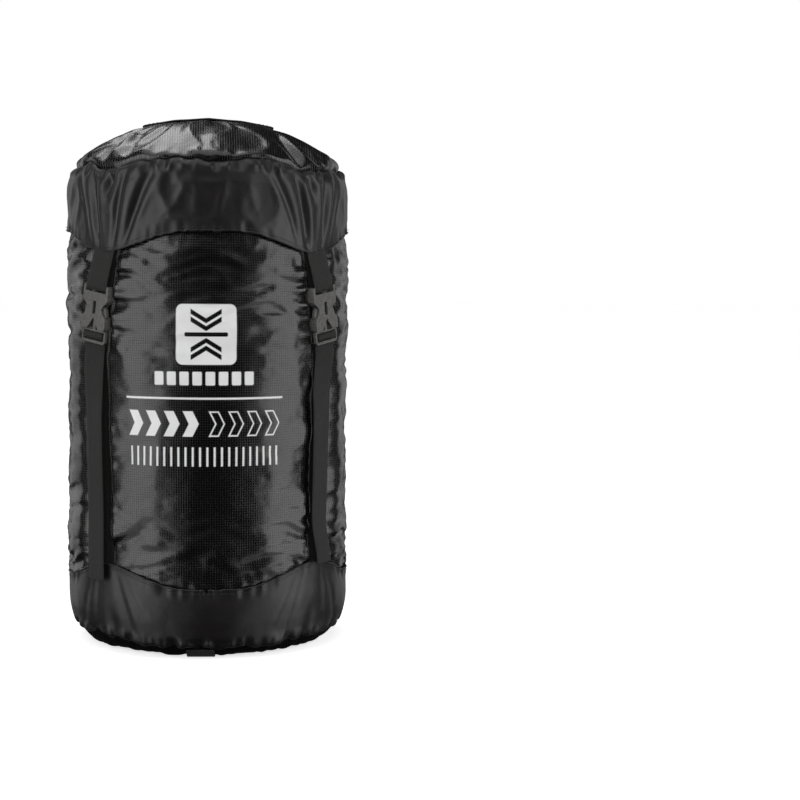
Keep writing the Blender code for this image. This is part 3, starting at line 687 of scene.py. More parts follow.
def settle(item, cut, held, frames, pressure, bending=0.08, cap=0.008):
    """Lets the cloth find its own folds, and returns where its points end.

    cut holds the points of the flat-cut cloth, whose greater lengths are its slack, and
    held is 1 where the cloth is sewn or pressed down and 0 where it is free. No point
    moves further than cap.
    """
    start = np.array([vertex.co for vertex in item.data.vertices])
    item.shape_key_add(name="start")
    key = item.shape_key_add(name="cut")
    key.data.foreach_set("co", np.asarray(cut, float).ravel())
    key.value = 0
    group = item.vertex_groups.new(name="held")
    for index in np.nonzero(held > 0.01)[0]:
        group.add([int(index)], float(held[index]), "REPLACE")
    modifier = item.modifiers.new("cloth", "CLOTH")
    wanted = dict(
        quality=5, mass=0.15, tension_stiffness=12, compression_stiffness=12, shear_stiffness=3,
        bending_stiffness=bending, air_damping=2, vertex_group_mass="held", rest_shape_key=key,
        use_pressure=True, uniform_pressure_force=pressure,
    )
    for name, value in wanted.items():
        setattr(modifier.settings, name, value)
    modifier.settings.effector_weights.gravity = 0
    modifier.collision_settings.use_collision = False
    modifier.point_cache.frame_start = 1
    modifier.point_cache.frame_end = frames
    scene = bpy.context.scene
    for frame_number in range(1, frames + 1):
        scene.frame_set(frame_number)
    graph = bpy.context.evaluated_depsgraph_get()
    settled = item.evaluated_get(graph).to_mesh()
    points = np.array([vertex.co for vertex in settled.vertices])
    item.evaluated_get(graph).to_mesh_clear()
    item.modifiers.remove(modifier)
    item.shape_key_clear()
    scene.frame_set(1)
    moved = points - start
    far = np.linalg.norm(moved, axis=1, keepdims=True)
    return start + moved * np.minimum(1, cap / np.maximum(far, 1e-9))


def finish_cloth(item, points, levels=1):
    """Sets the points, rounds the mesh and keeps where each point lies for its weave."""
    item.data.vertices.foreach_set("co", np.asarray(points, float).ravel())
    item.data.update()
    if levels:
        rounding = item.modifiers.new("rounding", "SUBSURF")
        rounding.levels = levels
        rounding.render_levels = levels
        graph = bpy.context.evaluated_depsgraph_get()
        mesh = bpy.data.meshes.new_from_object(item.evaluated_get(graph))
        item.modifiers.clear()
        item.data = mesh
    finish_mesh(item)


def finish_mesh(item):
    """Shades the mesh smooth and keeps where each of its points lies at rest."""
    mesh = item.data
    mesh.shade_smooth()
    rest = mesh.attributes.new("rest", "FLOAT_VECTOR", "POINT")
    places = np.zeros(len(mesh.vertices) * 3, np.float32)
    mesh.vertices.foreach_get("co", places)
    rest.data.foreach_set("vector", places)


BODY_COLUMNS = 220
BODY_ROWS = 108
BODY_LOW = 0.050
BODY_HIGH = 0.402
BODY_REST = 0.1309
BODY_SLACK = 1.035
UNDER_SKIRT = 0.1262
STRAP_BED = 0.1222


def strap_offsets(heights):
    """How far across its own place each height of a strap lies."""
    stations = np.linspace(0.40, 0.05, 120)
    lines = np.array([strap_line(station, RUN_BEND, RUN_LEAN)[:2] for station in stations])
    return np.interp(heights, lines[::-1, 1], lines[::-1, 0])


def near_straps(azimuths, heights):
    """The distance across the cloth from the nearest strap's middle, and its bed's depth.

    A bed is steep on the side that its strap leans away from, and gentle on the other.
    """
    away = np.full(len(azimuths), np.inf)
    bed = np.zeros(len(azimuths))
    offsets = strap_offsets(heights)
    for azimuth, side, _ in STRAPS.values():
        middle = radians(azimuth) + side * offsets / STRAP_RADIUS
        across = ((azimuths - middle + pi) % FULL_TURN - pi) * side * STRAP_RADIUS
        away = np.minimum(away, np.abs(across))
        inner = smooth_step(across, -0.0150, -0.0105)
        bed = np.maximum(bed, inner * (1 - smooth_step(across, 0.004, 0.034)))
    return away, bed


def build_body_cloth():
    """The main tube: held under both skirts and under the straps, and bulging between."""
    levels = [BODY_LOW + (BODY_HIGH - BODY_LOW) * row / (BODY_ROWS - 1) for row in range(BODY_ROWS)]
    grid = [(azimuth, height) for height in levels for azimuth in turns(BODY_COLUMNS)]
    azimuths = np.array([place[0] for place in grid])
    heights = np.array([place[1] for place in grid])
    low_hem = np.array([hem_height(azimuth, BASE_HEM) for azimuth in azimuths])
    high_hem = np.array([hem_height(azimuth, LID_HEM) for azimuth in azimuths])
    under_skirt = np.maximum(
        1 - smooth_step(heights, low_hem - 0.008, low_hem + 0.004),
        smooth_step(heights, high_hem - 0.019, high_hem + 0.006),
    )
    from_strap, under_strap = near_straps(azimuths, heights)
    from_hem = np.minimum(np.abs(heights - low_hem), np.abs(heights - high_hem))
    by_hem = 1 - smooth_step(from_hem, 0.004, 0.026)
    by_strap = 1 - smooth_step(from_strap, 0.016, 0.046)
    by_end = np.maximum(1 - smooth_step(heights, 0.09, 0.16), smooth_step(heights, 0.25, 0.32))
    at_side = np.cos(azimuths) ** 4
    creased = np.maximum(by_strap * (0.22 + 0.78 * by_end), 0.10 + 0.32 * by_end) + 0.30 * at_side
    wobble = np.array([0.0022 * ripple(a, h, 0.034, 1) for a, h in grid])
    wobble += 0.0034 * creased * np.array([crease(a, h, 0.020, 0.45, 2) for a, h in grid])
    wobble += 0.0008 * by_hem * np.array([crease(a, h, 0.012, 1.3, 3) for a, h in grid])
    radius = BODY_REST - 0.0012 + wobble
    radius = radius * (1 - under_skirt) + UNDER_SKIRT * under_skirt
    radius = radius * (1 - under_strap) + np.minimum(radius, STRAP_BED) * under_strap
    points = np.stack([radius * np.cos(azimuths), radius * np.sin(azimuths), heights], 1)
    middle = (BODY_LOW + BODY_HIGH) / 2
    flat = (
        BODY_REST * BODY_SLACK * np.cos(azimuths),
        BODY_REST * BODY_SLACK * np.sin(azimuths),
        middle + (heights - middle) * (1.05 + 0.05 * by_strap),
    )
    item = new_mesh("body_cloth", points, tube_faces(BODY_ROWS, BODY_COLUMNS), BODY_RIPSTOP)
    held = np.maximum(under_skirt, under_strap)
    finish_cloth(item, settle(item, np.stack(flat, 1), held, 16, 3.0))
    attach(item, "root", "ripstop", "body_tube_lower", "body_tube_upper")
    shorten(item)


def lid_droop(azimuth):
    """How far the lid's seam is pulled down, at each strap and at the sides between them."""
    at_strap = exp(-((from_nearest_strap(azimuth) / 0.022) ** 2))
    return LID_SEAM_DIP * (at_strap + 0.7 * cos(azimuth) ** 2)


def base_droop(azimuth):
    """Less than 0, since the base's corner is higher to the left, and a little to the right."""
    left = smooth_step(-cos(azimuth), 0.45, 0.8)
    return -0.0055 * left - 0.0015 * smooth_step(cos(azimuth), 0.45, 0.8)


def seam_wave(azimuth, seed):
    """How gathering moves a seam in and out and up and down."""
    inward = 0.0012 * ripple(azimuth, 0.0, 0.010, 3) + 0.0010 * ripple(azimuth, 0.0, 0.022, 4)
    rise = 0.0042 * ripple(azimuth, 0.1, 0.012, seed) + 0.0040 * ripple(azimuth, 0.1, 0.034, seed + 1)
    return inward, rise


def pleats(azimuth, share, seed):
    """Folds that fan out from each strap towards a seam, where share is 1, as a depth."""
    depth = 0.0
    pocket = 1.6 * exp(-(((share - 0.80) / 0.16) ** 2))
    folds = ((-2.0, 0.6), (-0.95, 1.0), (0.1, pocket), (1.05, 1.0), (2.1, 0.65))
    for place, (strap, _, _) in enumerate(STRAPS.values()):
        across = remainder(azimuth - radians(strap), FULL_TURN) * SACK_RADIUS
        fan = across / (0.009 + 0.015 * share)
        if abs(fan) > 3.2:
            continue
        shift = 0.35 * noise.noise(Vector((place * 3.1, seed * 2.7, share * 1.5)))
        for number, (centre, size) in enumerate(folds):
            vary = 1.6 * noise.noise(Vector((place * 7.3 + number * 2.9, seed * 1.7, 0.4)))
            off = (fan - centre - shift - 0.35 * vary) / (0.27 + 0.13 * vary)
            depth += size * (1 + 0.6 * vary) * exp(-off * off)
    return depth * sin(pi * clamp(share)) ** 0.7


def hem_pucker(azimuth, seed):
    """The puckers along a hem, which are deepest midway between two straps."""
    slack = smooth_step(from_nearest_strap(azimuth), 0.030, 0.065)
    return (0.25 + 0.75 * slack) * crease(azimuth, 0.0, 0.0085, 1.0, seed)


def along_profile(levels, share):
    """The point that share of the way along a line of (radius, height) points."""
    lengths = [0.0]
    for first, second in zip(levels, levels[1:]):
        lengths.append(lengths[-1] + dist(first, second))
    target = share * lengths[-1]
    for index, (first, second) in enumerate(zip(levels, levels[1:])):
        if target <= lengths[index + 1] + 1e-12:
            part = (target - lengths[index]) / (lengths[index + 1] - lengths[index])
            return tuple(low + (high - low) * part for low, high in zip(first, second))
    return levels[-1]


SKIRT_COLUMNS = 288
HEM_SKIRT_RADIUS = 0.1305

# How much longer a skirt is cut, and the shares of it beyond which stitches hold it
SLACK_ROUND = 1.035
SLACK_DOWN = 1.03
SEWN_AT_SEAM = 0.985
SEWN_AT_HEM = 0.075
LID_SHOULDER = [
    (0.1210, 0.4441), (0.1231, 0.4430), (0.1252, 0.4400), (0.1274, 0.4340),
    (0.1291, 0.4250), (0.1298, 0.4140), (0.1299, 0.4000),
]
BASE_CORNER = [(0.1212, 0.0112), (0.1236, 0.0122), (0.1268, 0.0205), (0.1292, 0.0340), (0.1304, 0.0520)]


def build_skirt(end, body, rows, profile, seam_z, hem, seeds, droop_of, fold_depth):
    """A band of taffeta from a gathered seam, along a profile, to a rolled hem."""
    seed, seam_seed, hem_seed = seeds
    points, cut, held = [], [], []
    for row in range(rows):
        share = 1 - row / (rows - 1)
        free = sin(pi * clamp((share - 0.06) / 0.94))
        near_seam = share**5
        for azimuth in turns(SKIRT_COLUMNS):
            levels = profile + [(HEM_SKIRT_RADIUS, hem_height(azimuth, hem))]
            radius, height = along_profile(levels, 1 - share)
            fold = pleats(azimuth, share, seed)
            inward, rise = seam_wave(azimuth, seam_seed)
            gather = max(1 - abs(share - 0.92) / 0.13, 0) * crease(azimuth, 0.0, 0.010, 1.0, seed + 7)
            by_hem = max(1 - abs(share - 0.03) / 0.16, 0) * hem_pucker(azimuth, hem_seed)
            broad = ripple(azimuth, height, 0.034, seed)
            broad += 0.25 * crease(azimuth, height, 0.036, 1.3, seed + 2)
            radius += 0.0014 - fold_depth * fold + 0.0010 * free * broad + 0.0014 * by_hem
            radius += near_seam * inward + 0.0034 * gather - 0.0014 * (1 - free)
            moved = height + near_seam * rise - share**2.5 * droop_of(azimuth)
            points.append(polar(azimuth, radius, moved))
            slack = SLACK_ROUND + 0.02 * free
            cut.append(polar(azimuth, radius * slack, seam_z + (height - seam_z) * SLACK_DOWN))
            held.append(1.0 if share > SEWN_AT_SEAM or share < SEWN_AT_HEM else 0.0)
    item = new_mesh(end + "_skirt_cloth", points, tube_faces(rows, SKIRT_COLUMNS), SKIRT_TAFFETA)
    finish_cloth(item, settle(item, cut, np.array(held), 14, 2.5))
    attach(item, body, "taffeta", end + "_side_band")


DOME = (
    (0.1210, 0.4442), (0.1230, 0.4454), (0.1226, 0.4476), (0.1196, 0.4512), (0.1114, 0.4552),
    (0.0990, 0.4619), (0.0830, 0.4695), (0.0586, 0.4782), (0.0300, 0.4836), (0.0006, 0.4861),
)
DOME_ROWS = 34
DOME_COLUMNS = 208

# The middle and half length of the handle's sewn ends, and half the width that webbing covers
HANDLE_END = 0.055
HANDLE_SEWN = 0.006
UNDER_WEBBING = 0.0135

# How far in from its rim a disc's last ring lies, before the point in the middle
LAST_RING = 0.985

# Turn in degrees, depth and width of the folds that each strap pulls across the dome
PULLED_FOLDS = ((-7, -0.0042, 0.0050), (0, 0.0036, 0.0052), (8, -0.0030, 0.0046))


def pulled_fold(x, y):
    """The folds that each strap draws across the dome, from its place at the seam to the handle."""
    height = 0.0
    for number, (azimuth, _, _) in enumerate(STRAPS.values()):
        for turn, depth, width in PULLED_FOLDS:
            angle = radians(azimuth + turn)
            start = (0.1225 * cos(angle), 0.1225 * sin(angle))
            end = (copysign(0.052, start[0]), copysign(0.016, start[1]))
            run = (end[0] - start[0], end[1] - start[1])
            length = hypot(*run)
            share = ((x - start[0]) * run[0] + (y - start[1]) * run[1]) / length**2
            aside = ((x - start[0]) * run[1] - (y - start[1]) * run[0]) / length
            aside += 0.006 * noise.noise(Vector((share * 2.2, number * 3.7, turn * 0.3)))
            fade = smooth_step(share, -0.06, 0.10) * (1 - smooth_step(share, 0.55, 1.0))
            height += depth * fade * exp(-((aside / width) ** 2))
    return height


def build_dome():
    """The lid's top: gathered all round into its seam and held by the handle's ends."""
    profile = [tuple(point) for point in smooth_path(DOME, 3)]
    points, cut, held = [], [], []
    for row in range(DOME_ROWS):
        share = row / (DOME_ROWS - 1) * LAST_RING
        near_seam = (1 - share) ** 14
        free = min(1, share * 14) * (1 - share) ** 0.7
        radius, level = along_profile(profile, share)
        for azimuth in turns(DOME_COLUMNS):
            inward, rise = seam_wave(azimuth, LID_SEEDS[1])
            bent = azimuth + 0.30 * ripple(azimuth, radius, 0.070, 8)
            ridge = crease(bent, radius * 0.25, 0.036, 1.0, 5)
            small = crease(bent, radius * 0.4, 0.013, 1.0, 9) * max(0, 1 - share * 3.2)
            broad = ripple(azimuth, radius, 0.040, 6)
            x, y, height = polar(azimuth, radius, level)
            from_handle = hypot(max(abs(x) - HANDLE_END, 0), y)
            pressed = smooth_step(from_handle, 0.014, 0.030)
            height += free * pressed * (0.0022 * ridge + 0.0016 * small + 0.0030 * broad)
            height += free * pulled_fold(x, y) + near_seam * rise - (1 - share) ** 6 * lid_droop(azimuth)
            x, y, height = polar(azimuth, radius + near_seam * inward, height)
            points.append((x, y, height))
            cut.append(polar(azimuth, radius * 1.05, height))
            on_handle = abs(y) < UNDER_WEBBING and abs(abs(x) - HANDLE_END) < HANDLE_SEWN
            held.append(1.0 if row < 1 or on_handle else 0.0)
    points.append((0, 0, DOME[-1][1]))
    cut.append((0, 0, DOME[-1][1]))
    held.append(0.0)
    item = new_mesh("lid_dome_cloth", points, disc_faces(DOME_ROWS, DOME_COLUMNS), DOME_RIPSTOP)
    finish_cloth(item, settle(item, cut, np.array(held), 8, 1.0, bending=0.03, cap=0.003))
    attach(item, "lid", "ripstop", "lid_top_panel")


# Edges


def tube_curve(name, points, radius, material, cyclic=False, sides=2):
    """A round tube as a mesh, with its rest places kept for its material."""
    curve = bpy.data.curves.new(name, "CURVE")
    curve.dimensions = "3D"
    curve.bevel_depth = radius
    curve.bevel_resolution = sides
    curve.use_fill_caps = not cyclic
    spline = curve.splines.new("POLY")
    spline.points.add(len(points) - 1)
    for target, point in zip(spline.points, points):
        target.co = (*point, 1)
    spline.use_cyclic_u = cyclic
    guide = stand(name + "_guide", curve)
    graph = bpy.context.evaluated_depsgraph_get()
    mesh = bpy.data.meshes.new_from_object(guide.evaluated_get(graph))
    bpy.data.objects.remove(guide)
    mesh.name = name
    mesh.materials.clear()
    mesh.materials.append(material)
    item = stand(name, mesh)
    finish_mesh(item)
    return item


def edge_tube(name, points, radius, body, replaced):
    """A rolled edge of taffeta, all the way round the sack."""
    item = tube_curve(name, points, radius, HEM_TAFFETA, cyclic=True)
    attach(item, body, "taffeta", replaced)


def build_edges(end, body, hem, above, seed, droop_of, radius, height):
    """A hem's row of stitches beside its edge, its rolled edge, and its seam's binding inside."""
    line = []
    for azimuth in turns(480) + [FULL_TURN]:
        outer = SACK_RADIUS + 0.0006 + 0.0013 * hem_pucker(azimuth, seed)
        line.append(Vector(polar(azimuth, outer, hem_height(azimuth, hem) + above)))
    stitches(end + "_hem_stitches", [line], body)
    points = []
    for azimuth in turns(600):
        pucker = hem_pucker(azimuth, seed)
        rise = 0.0004 * ripple(azimuth, 0, 0.012, seed)
        rolled = hem_height(azimuth, hem) + rise + 0.0006 * pucker
        points.append(polar(azimuth, SACK_RADIUS - 0.0003 + 0.0009 * pucker, rolled))
    edge_tube(end + "_hem_roll", points, 0.0010, body, end + "_hem_binding")
    points = [polar(azimuth, radius, height - droop_of(azimuth)) for azimuth in turns(240)]
    edge_tube(end + "_seam_binding", points, 0.0008, body, end + "_seam_tape")


# Webbing

RIBBON_SPANS = 6


def ribbon(name, stations):
    """Webbing of even thickness along stations of (middle, across, outward) vectors."""
    width = WEBBING_WIDTH / 2
    half = WEBBING_THICKNESS / 2
    edge = half * 0.55
    spans = [(WEBBING_WIDTH - 2 * half) * k / RIBBON_SPANS for k in range(RIBBON_SPANS + 1)]
    ring = [(-width, -edge), (-width, edge)] + [(-width + half + span, half) for span in spans]
    ring += [(width, edge), (width, -edge)] + [(width - half - span, -half) for span in spans]
    count = len(ring)
    points, lie = [], []
    along = 0.0
    for index, (middle, across, outward) in enumerate(stations):
        if index:
            along += (middle - stations[index - 1][0]).length
        for side, lift in ring:
            points.append(middle + across * side + outward * lift)
            lie.append((side, along, lift))
    last = (len(stations) - 1) * count
    faces = []
    for low in range(0, last, count):
        for k in range(count):
            after = (k + 1) % count
            faces.append((low + k, low + count + k, low + count + after, low + after))
    faces.append(tuple(range(count)))
    faces.append(tuple(reversed([last + k for k in range(count)])))
    item = new_mesh(name, points, faces, STRAP_WEBBING)
    bm = bmesh.new()
    bm.from_mesh(item.data)
    bmesh.ops.recalc_face_normals(bm, faces=bm.faces)
    bm.to_mesh(item.data)
    bm.free()
    finish_mesh(item)
    item.data.set_sharp_from_angle(angle=radians(50))
    attribute = item.data.attributes.new("lie", "FLOAT_VECTOR", "POINT")
    attribute.data.foreach_set("vector", np.array(lie, np.float32).ravel())
    return item


def with_ways(points):
    """Each point with the direction in which the line runs there."""
    afters = points[1:] + points[-1:]
    befores = points[:1] + points[:-1]
    ways = [(after - before).normalized() for before, after in zip(befores, afters)]
    return zip(points, ways)


def strap_stations(path, azimuth, side, bend, last_lean, length=0.004, drift=None, twist=0.0):
    """Stations along a strap whose middle follows (outward, height) points and leans.

    length is the most between two stations, drift(height) moves it across, and twist
    turns its face away from its neighbour in front.
    """
    path = [Vector(point) for point in path]
    fine = []
    for first, second in zip(path, path[1:]):
        pieces = max(1, ceil((second - first).length / length))
        fine += [first.lerp(second, piece / pieces) for piece in range(pieces)]
    fine.append(path[-1])
    matrix = strap_frame(azimuth)
    stations = []
    for point, along in with_ways(fine):
        across, up, lean = strap_line(point.y, bend, last_lean)
        direction = Vector((cos(lean), side * sin(lean), 0))
        down = Vector((side * sin(lean), -cos(lean), 0))
        outward = UPWARD * -along.y - down * along.x
        sideways = drift(up) if drift else 0.0
        place = matrix @ Vector(((across + sideways) * side, up, point.x))
        twisted = side * twist * smooth_step(TWIST_TOP - up, 0, EASE_LENGTH)
        turned = Matrix.Rotation(twisted, 3, down)
        turned = matrix.to_3x3() @ turned
        stations.append((place, (turned @ direction).normalized(), (turned @ outward).normalized()))
    return stations


def slot_point(outward, down):
    """A point beside the buckle's middle bar, as distances outward and down from it."""
    return (BUCKLE_PLANE + outward, BUCKLE_TOP_Z - MIDDLE_BAR_D - down)


def upper_strap_path():
    """From under the lid's hem, behind the buckle's bar and round it, and up again in front."""
    behind = ((0, UPPER_STRAP_ROOT_Z), (0, 0.349), (0.0002, 0.342), (0.0007, 0.336))
    path = [(STRAP_RADIUS + outward, height) for outward, height in behind]
    path += arc((BUCKLE_PLANE, BUCKLE_TOP_Z - TOP_BAR / 2), UPPER_STRAP_WRAP, 180, 375)
    return path + [(0.1347, 0.3385), (0.1330, 0.3480), (0.1312, 0.3580), (0.1301, 0.3650)]


def run_path():
    """From the base's hem up to the buckle, and over its middle bar."""
    middle_bar = slot_point(0, 0)
    deep = STRAP_RADIUS - 0.0024
    path = smooth_path([(deep, STRAP_ROOT_Z), (deep, 0.14), (deep, 0.24), (STRAP_RADIUS, 0.2780)], 3)
    path += smooth_path(
        [
            (STRAP_RADIUS, middle_bar[1] - 0.0025), slot_point(-0.0040, -0.0002),
            slot_point(-0.0031, -0.0017), slot_point(-0.0018, -0.00245),
        ],
        steps=3,
    )
    return path + arc(middle_bar, LOWER_STRAP_WRAP, 90, -90)


def tail_path(end_z):
    """From under the middle bar, out of the buckle's lower slot, and down in front of the run."""
    inside = (
        (-0.0003, 0.00256), (-0.0013, 0.0028), (-0.0022, 0.0036), (-0.00245, 0.0055), (-0.0024, 0.0100)
    )
    hanging = (
        (0.1306, 0.2640), (0.1330, 0.2440), (TAIL_RADIUS, 0.2100), (TAIL_RADIUS, 0.1700),
        (TAIL_RADIUS - 0.0004, 0.1300), (TAIL_RADIUS, 0.0950), (TAIL_RADIUS, end_z),
    )
    return smooth_path([slot_point(*place) for place in inside] + list(hanging))


# How far each loose end hangs in from its buckle's line, and how far it kicks out at its tip
TAIL_DRIFTS = {
    "front_left": (0.0046, 0.0005),
    "front_right": (0.0120, 0.0085),
    "back_right": (0.0040, 0.0030),
    "back_left": (0.0050, -0.0010),
}


def shorten(item):
    """Gives a piece that stands from low to high its own copy of its mesh."""
    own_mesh(item)


def build_straps():
    for place, (azimuth, side, tail_end) in STRAPS.items():
        stations = strap_stations(upper_strap_path(), azimuth, side, RUN_BEND, 0.0, 0.003)
        upper = ribbon(f"upper_strap_{place}_webbing", stations)
        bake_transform(upper)
        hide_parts("upper_strap_" + place)

        stations = strap_stations(run_path(), azimuth, side, RUN_BEND, RUN_LEAN)
        run = ribbon(f"strap_run_{place}_webbing", stations)
        attach(run, "root", "webbing", "strap_run_" + place)
        shorten(run)

        inward, kick = TAIL_DRIFTS[place]

        def drift(height):
            kicked = kick * smooth_step(KICK_TOP - height, 0, EASE_LENGTH)
            return kicked - inward * smooth_step(DRIFT_TOP - height, 0, EASE_LENGTH)

        stations = strap_stations(
            tail_path(tail_end), azimuth, side, TAIL_BEND, TAIL_LEAN, drift=drift, twist=TAIL_TWIST
        )
        tail = ribbon(f"strap_tail_{place}_webbing", stations)
        attach(tail, "root", "webbing", "strap_tail_" + place)
        shorten(tail)


# Base panel, mouth, handles and stitches


def base_surface(radius):
    """Height of the base's underside: flat in the middle and turning up to its seam."""
    beyond = max(radius - BASE_FLAT_RADIUS, 0) / (BASE_RIM_RADIUS - BASE_FLAT_RADIUS)
    return BASE_RIM_RISE * beyond**BASE_RIM_CURVE


BASE_PANEL_ROWS = 30
BASE_PANEL_COLUMNS = 208


def build_base_panel():
    """The flat base, puckered where it turns up to its seam and lifted over its handle."""
    points = []
    for row in range(BASE_PANEL_ROWS):
        share = row / (BASE_PANEL_ROWS - 1)
        radius = (BASE_RIM_RADIUS + 0.0016) * (1 - LAST_RING * share**1.6)
        near_seam = max(0, 1 - share * 2.2) ** 3
        near_rim = max(0, 1 - abs(share - 0.22) / 0.2)
        for azimuth in turns(BASE_PANEL_COLUMNS):
            inward, rise = seam_wave(azimuth, BASE_SEEDS[1])
            pucker = crease(azimuth, 0.0, 0.012, 1.0, 38) * near_rim
            height = base_surface(min(radius, BASE_RIM_RADIUS)) + 0.0042 * near_seam
            height += 0.0012 + 0.0011 * pucker + 0.0009 * ripple(azimuth, radius, 0.03, 39)
            height += near_seam * (rise - base_droop(azimuth))
            from_handle = abs(radius * sin(azimuth - pi / 2 - BASE_HANDLE_TURN))
            over = 1 - clamp((from_handle - UNDER_WEBBING) / 0.006)
            height = max(height, 0.0004) + 0.0006 * over * (1 - near_seam)
            points.append(polar(azimuth, radius + near_seam * inward, height))
    points.append((0, 0, 0.0022))
    faces = [tuple(reversed(face)) for face in disc_faces(BASE_PANEL_ROWS, BASE_PANEL_COLUMNS)]
    item = new_mesh("base_panel_cloth", points, faces, DOME_RIPSTOP)
    finish_cloth(item, points)
    attach(item, "root", "ripstop", "base_panel")


MOUTH = (
    (0.1256, 0.4010), (0.1258, 0.4120), (0.1246, 0.4200), (0.1205, 0.4290), (0.1130, 0.4345),
    (0.0980, 0.4366), (0.0760, 0.4378), (0.0520, 0.4386), (0.0360, 0.4392), (0.0285, 0.4396),
)
MOUTH_ROWS = 44
MOUTH_COLUMNS = 216
CORD_Z = MOUTH_Z + 0.001


def build_mouth():
    """The tube's top, which the drawcord gathers into pleats that meet at its channel."""
    profile = [tuple(point) for point in smooth_path(MOUTH, 3)]
    points = []
    for row in range(MOUTH_ROWS):
        radius, height = along_profile(profile, row / (MOUTH_ROWS - 1))
        drawn = clamp((0.1250 - radius) / 0.09)
        side = 1 - clamp((0.4260 - height) / 0.016)
        for azimuth in turns(MOUTH_COLUMNS):
            pleat = 1 - crease(azimuth, 0.0, 0.030, 1.0, 71)
            fine = 1 - crease(azimuth, radius * 0.2, 0.014, 1.0, 72)
            depth = drawn * (0.0046 * pleat + 0.0030 * fine * (1 - drawn * 0.4))
            points.append(polar(azimuth, radius - 0.0012 * fine * (1 - side), height - depth * side))
    item = new_mesh("mouth_cloth", points, tube_faces(MOUTH_ROWS, MOUTH_COLUMNS), DOME_RIPSTOP)
    finish_cloth(item, points)
    attach(item, "sack_top", "ripstop", "body_tube_upper")
    build_channel()


CHANNEL_STEPS = 300
CHANNEL_SIDES = 12


def build_channel():
    """The drawcord's tunnel: a ruffled hem around the mouth, open at the front."""
    half_gap = radians(14)
    points = []
    for step in range(CHANNEL_STEPS + 1):
        share = step / CHANNEL_STEPS
        azimuth = -pi / 2 + half_gap + (FULL_TURN - 2 * half_gap) * share
        ruffle = 1 + 0.16 * sin(azimuth * 44 + 2.5 * ripple(azimuth, 0.0, 0.02, 81))
        ruffle += 0.25 * ripple(azimuth, 0.0, 0.004, 82)
        for turn in turns(CHANNEL_SIDES):
            small = CHANNEL_OUTER * (0.92 + (ruffle - 1) * (0.7 + 0.3 * cos(turn)))
            radius = CHANNEL_RADIUS + small * cos(turn)
            points.append(polar(azimuth, radius, CORD_Z + small * sin(turn)))
    faces = tube_faces(CHANNEL_STEPS + 1, CHANNEL_SIDES)
    item = new_mesh("drawcord_channel_cloth", points, faces, DOME_RIPSTOP)
    finish_cloth(item, points, levels=0)
    attach(item, "sack_top", "ripstop", "drawcord_channel")
    return item


CORD_SPACING = 0.002
CORD_STEPS = 48

# The left half of the cord's loop past the lock, as (left, front) distances
LOCK_LOOP = (
    (CORD_SPACING, 0.0620), (0.0032, 0.0660), (0.0058, 0.0710), (0.0066, 0.0760), (0.0052, 0.0805),
    (0.0028, 0.0832),
)


def build_drawcord():
    """One closed loop: round the mouth in its channel, out, and through the lock."""
    half_gap = asin(CORD_SPACING * 1.5 / CHANNEL_RADIUS)
    ring = []
    for step in range(CORD_STEPS + 1):
        angle = -pi / 2 + half_gap + (FULL_TURN - 2 * half_gap) * step / CORD_STEPS
        ring.append(Vector(polar(angle, CHANNEL_RADIUS, CORD_Z)))
    rising = ((-0.0290, CORD_Z + 0.0012), (-0.0325, CORD_Z + 0.0042), (-0.0360, LOCK_Z - 0.0002))
    side = [(-CORD_SPACING, y, z) for y, z in (*rising, (LOCK_Y, LOCK_Z))]
    side += [(-left, -ahead, LOCK_Z) for left, ahead in LOCK_LOOP]
    back = [(-x, y, z) for x, y, z in side[::-1]]
    loop = smooth_path(side + [(0, -0.0842, LOCK_Z)] + back, 5)
    item = tube_curve("drawcord", ring + loop, CORD_RADIUS, BLACK_CORD, sides=3)
    attach(item, "sack_top", "cord", "mouth_drawcord")


def flat_stations(points, across):
    """Stations of webbing whose middle follows points and whose width lies along across."""
    stations = []
    for point, along in with_ways(points):
        outward = along.cross(across).normalized()
        stations.append((point, across, outward if outward.z > 0 else -outward))
    return stations


def dome_height(radius):
    for (outer, low), (inner, high) in zip(DOME[1:], DOME[2:]):
        if inner <= radius <= outer:
            return low + (high - low) * (outer - radius) / (outer - inner)
    return DOME[-1][1]


# Corners of the box of stitches at each end of the top handle, as (outward, across)
BOX_CORNERS = ((0.0455, -0.0105), (0.0455, 0.0105), (0.0565, 0.0105), (0.0565, -0.0105))
BOX_STEPS = 12


def build_top_handle():
    """Two halves that meet at the top, each sewn down at its outer end in a turned-under fold."""
    for name, way in (("right", 1), ("left", -1)):
        lifts = [(0.038, 0.0003)] + [(reach, 0.0004) for reach in (0.044, 0.050, 0.056, 0.0585)]
        lifts.append((0.0602, 0.0014))
        for reach in (0.0585, 0.056, 0.050, 0.040, 0.030, 0.020, 0.010, 0.0):
            lifts.append((reach, 0.0018 - 0.0006 * smooth_step(0.045 - reach, 0.0, 0.03)))
        path = [Vector((way * reach, 0, dome_height(reach) + lift)) for reach, lift in lifts]
        stations = flat_stations(smooth_path(path, 3), Vector((0, 1, 0)))
        item = ribbon("top_handle_" + name, stations)
        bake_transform(item)
        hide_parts("top_grab_handle")
        lines = []
        for (x0, y0), (x1, y1) in zip(BOX_CORNERS, BOX_CORNERS[1:] + BOX_CORNERS[:1]):
            line = []
            for step in range(BOX_STEPS + 1):
                x = x0 + (x1 - x0) * step / BOX_STEPS
                y = y0 + (y1 - y0) * step / BOX_STEPS
                line.append(Vector((way * x, y, dome_height(x) + 0.0018 + 0.0008)))
            lines.append(line)
        stitches("top_handle_stitches_" + name, lines, "lid")


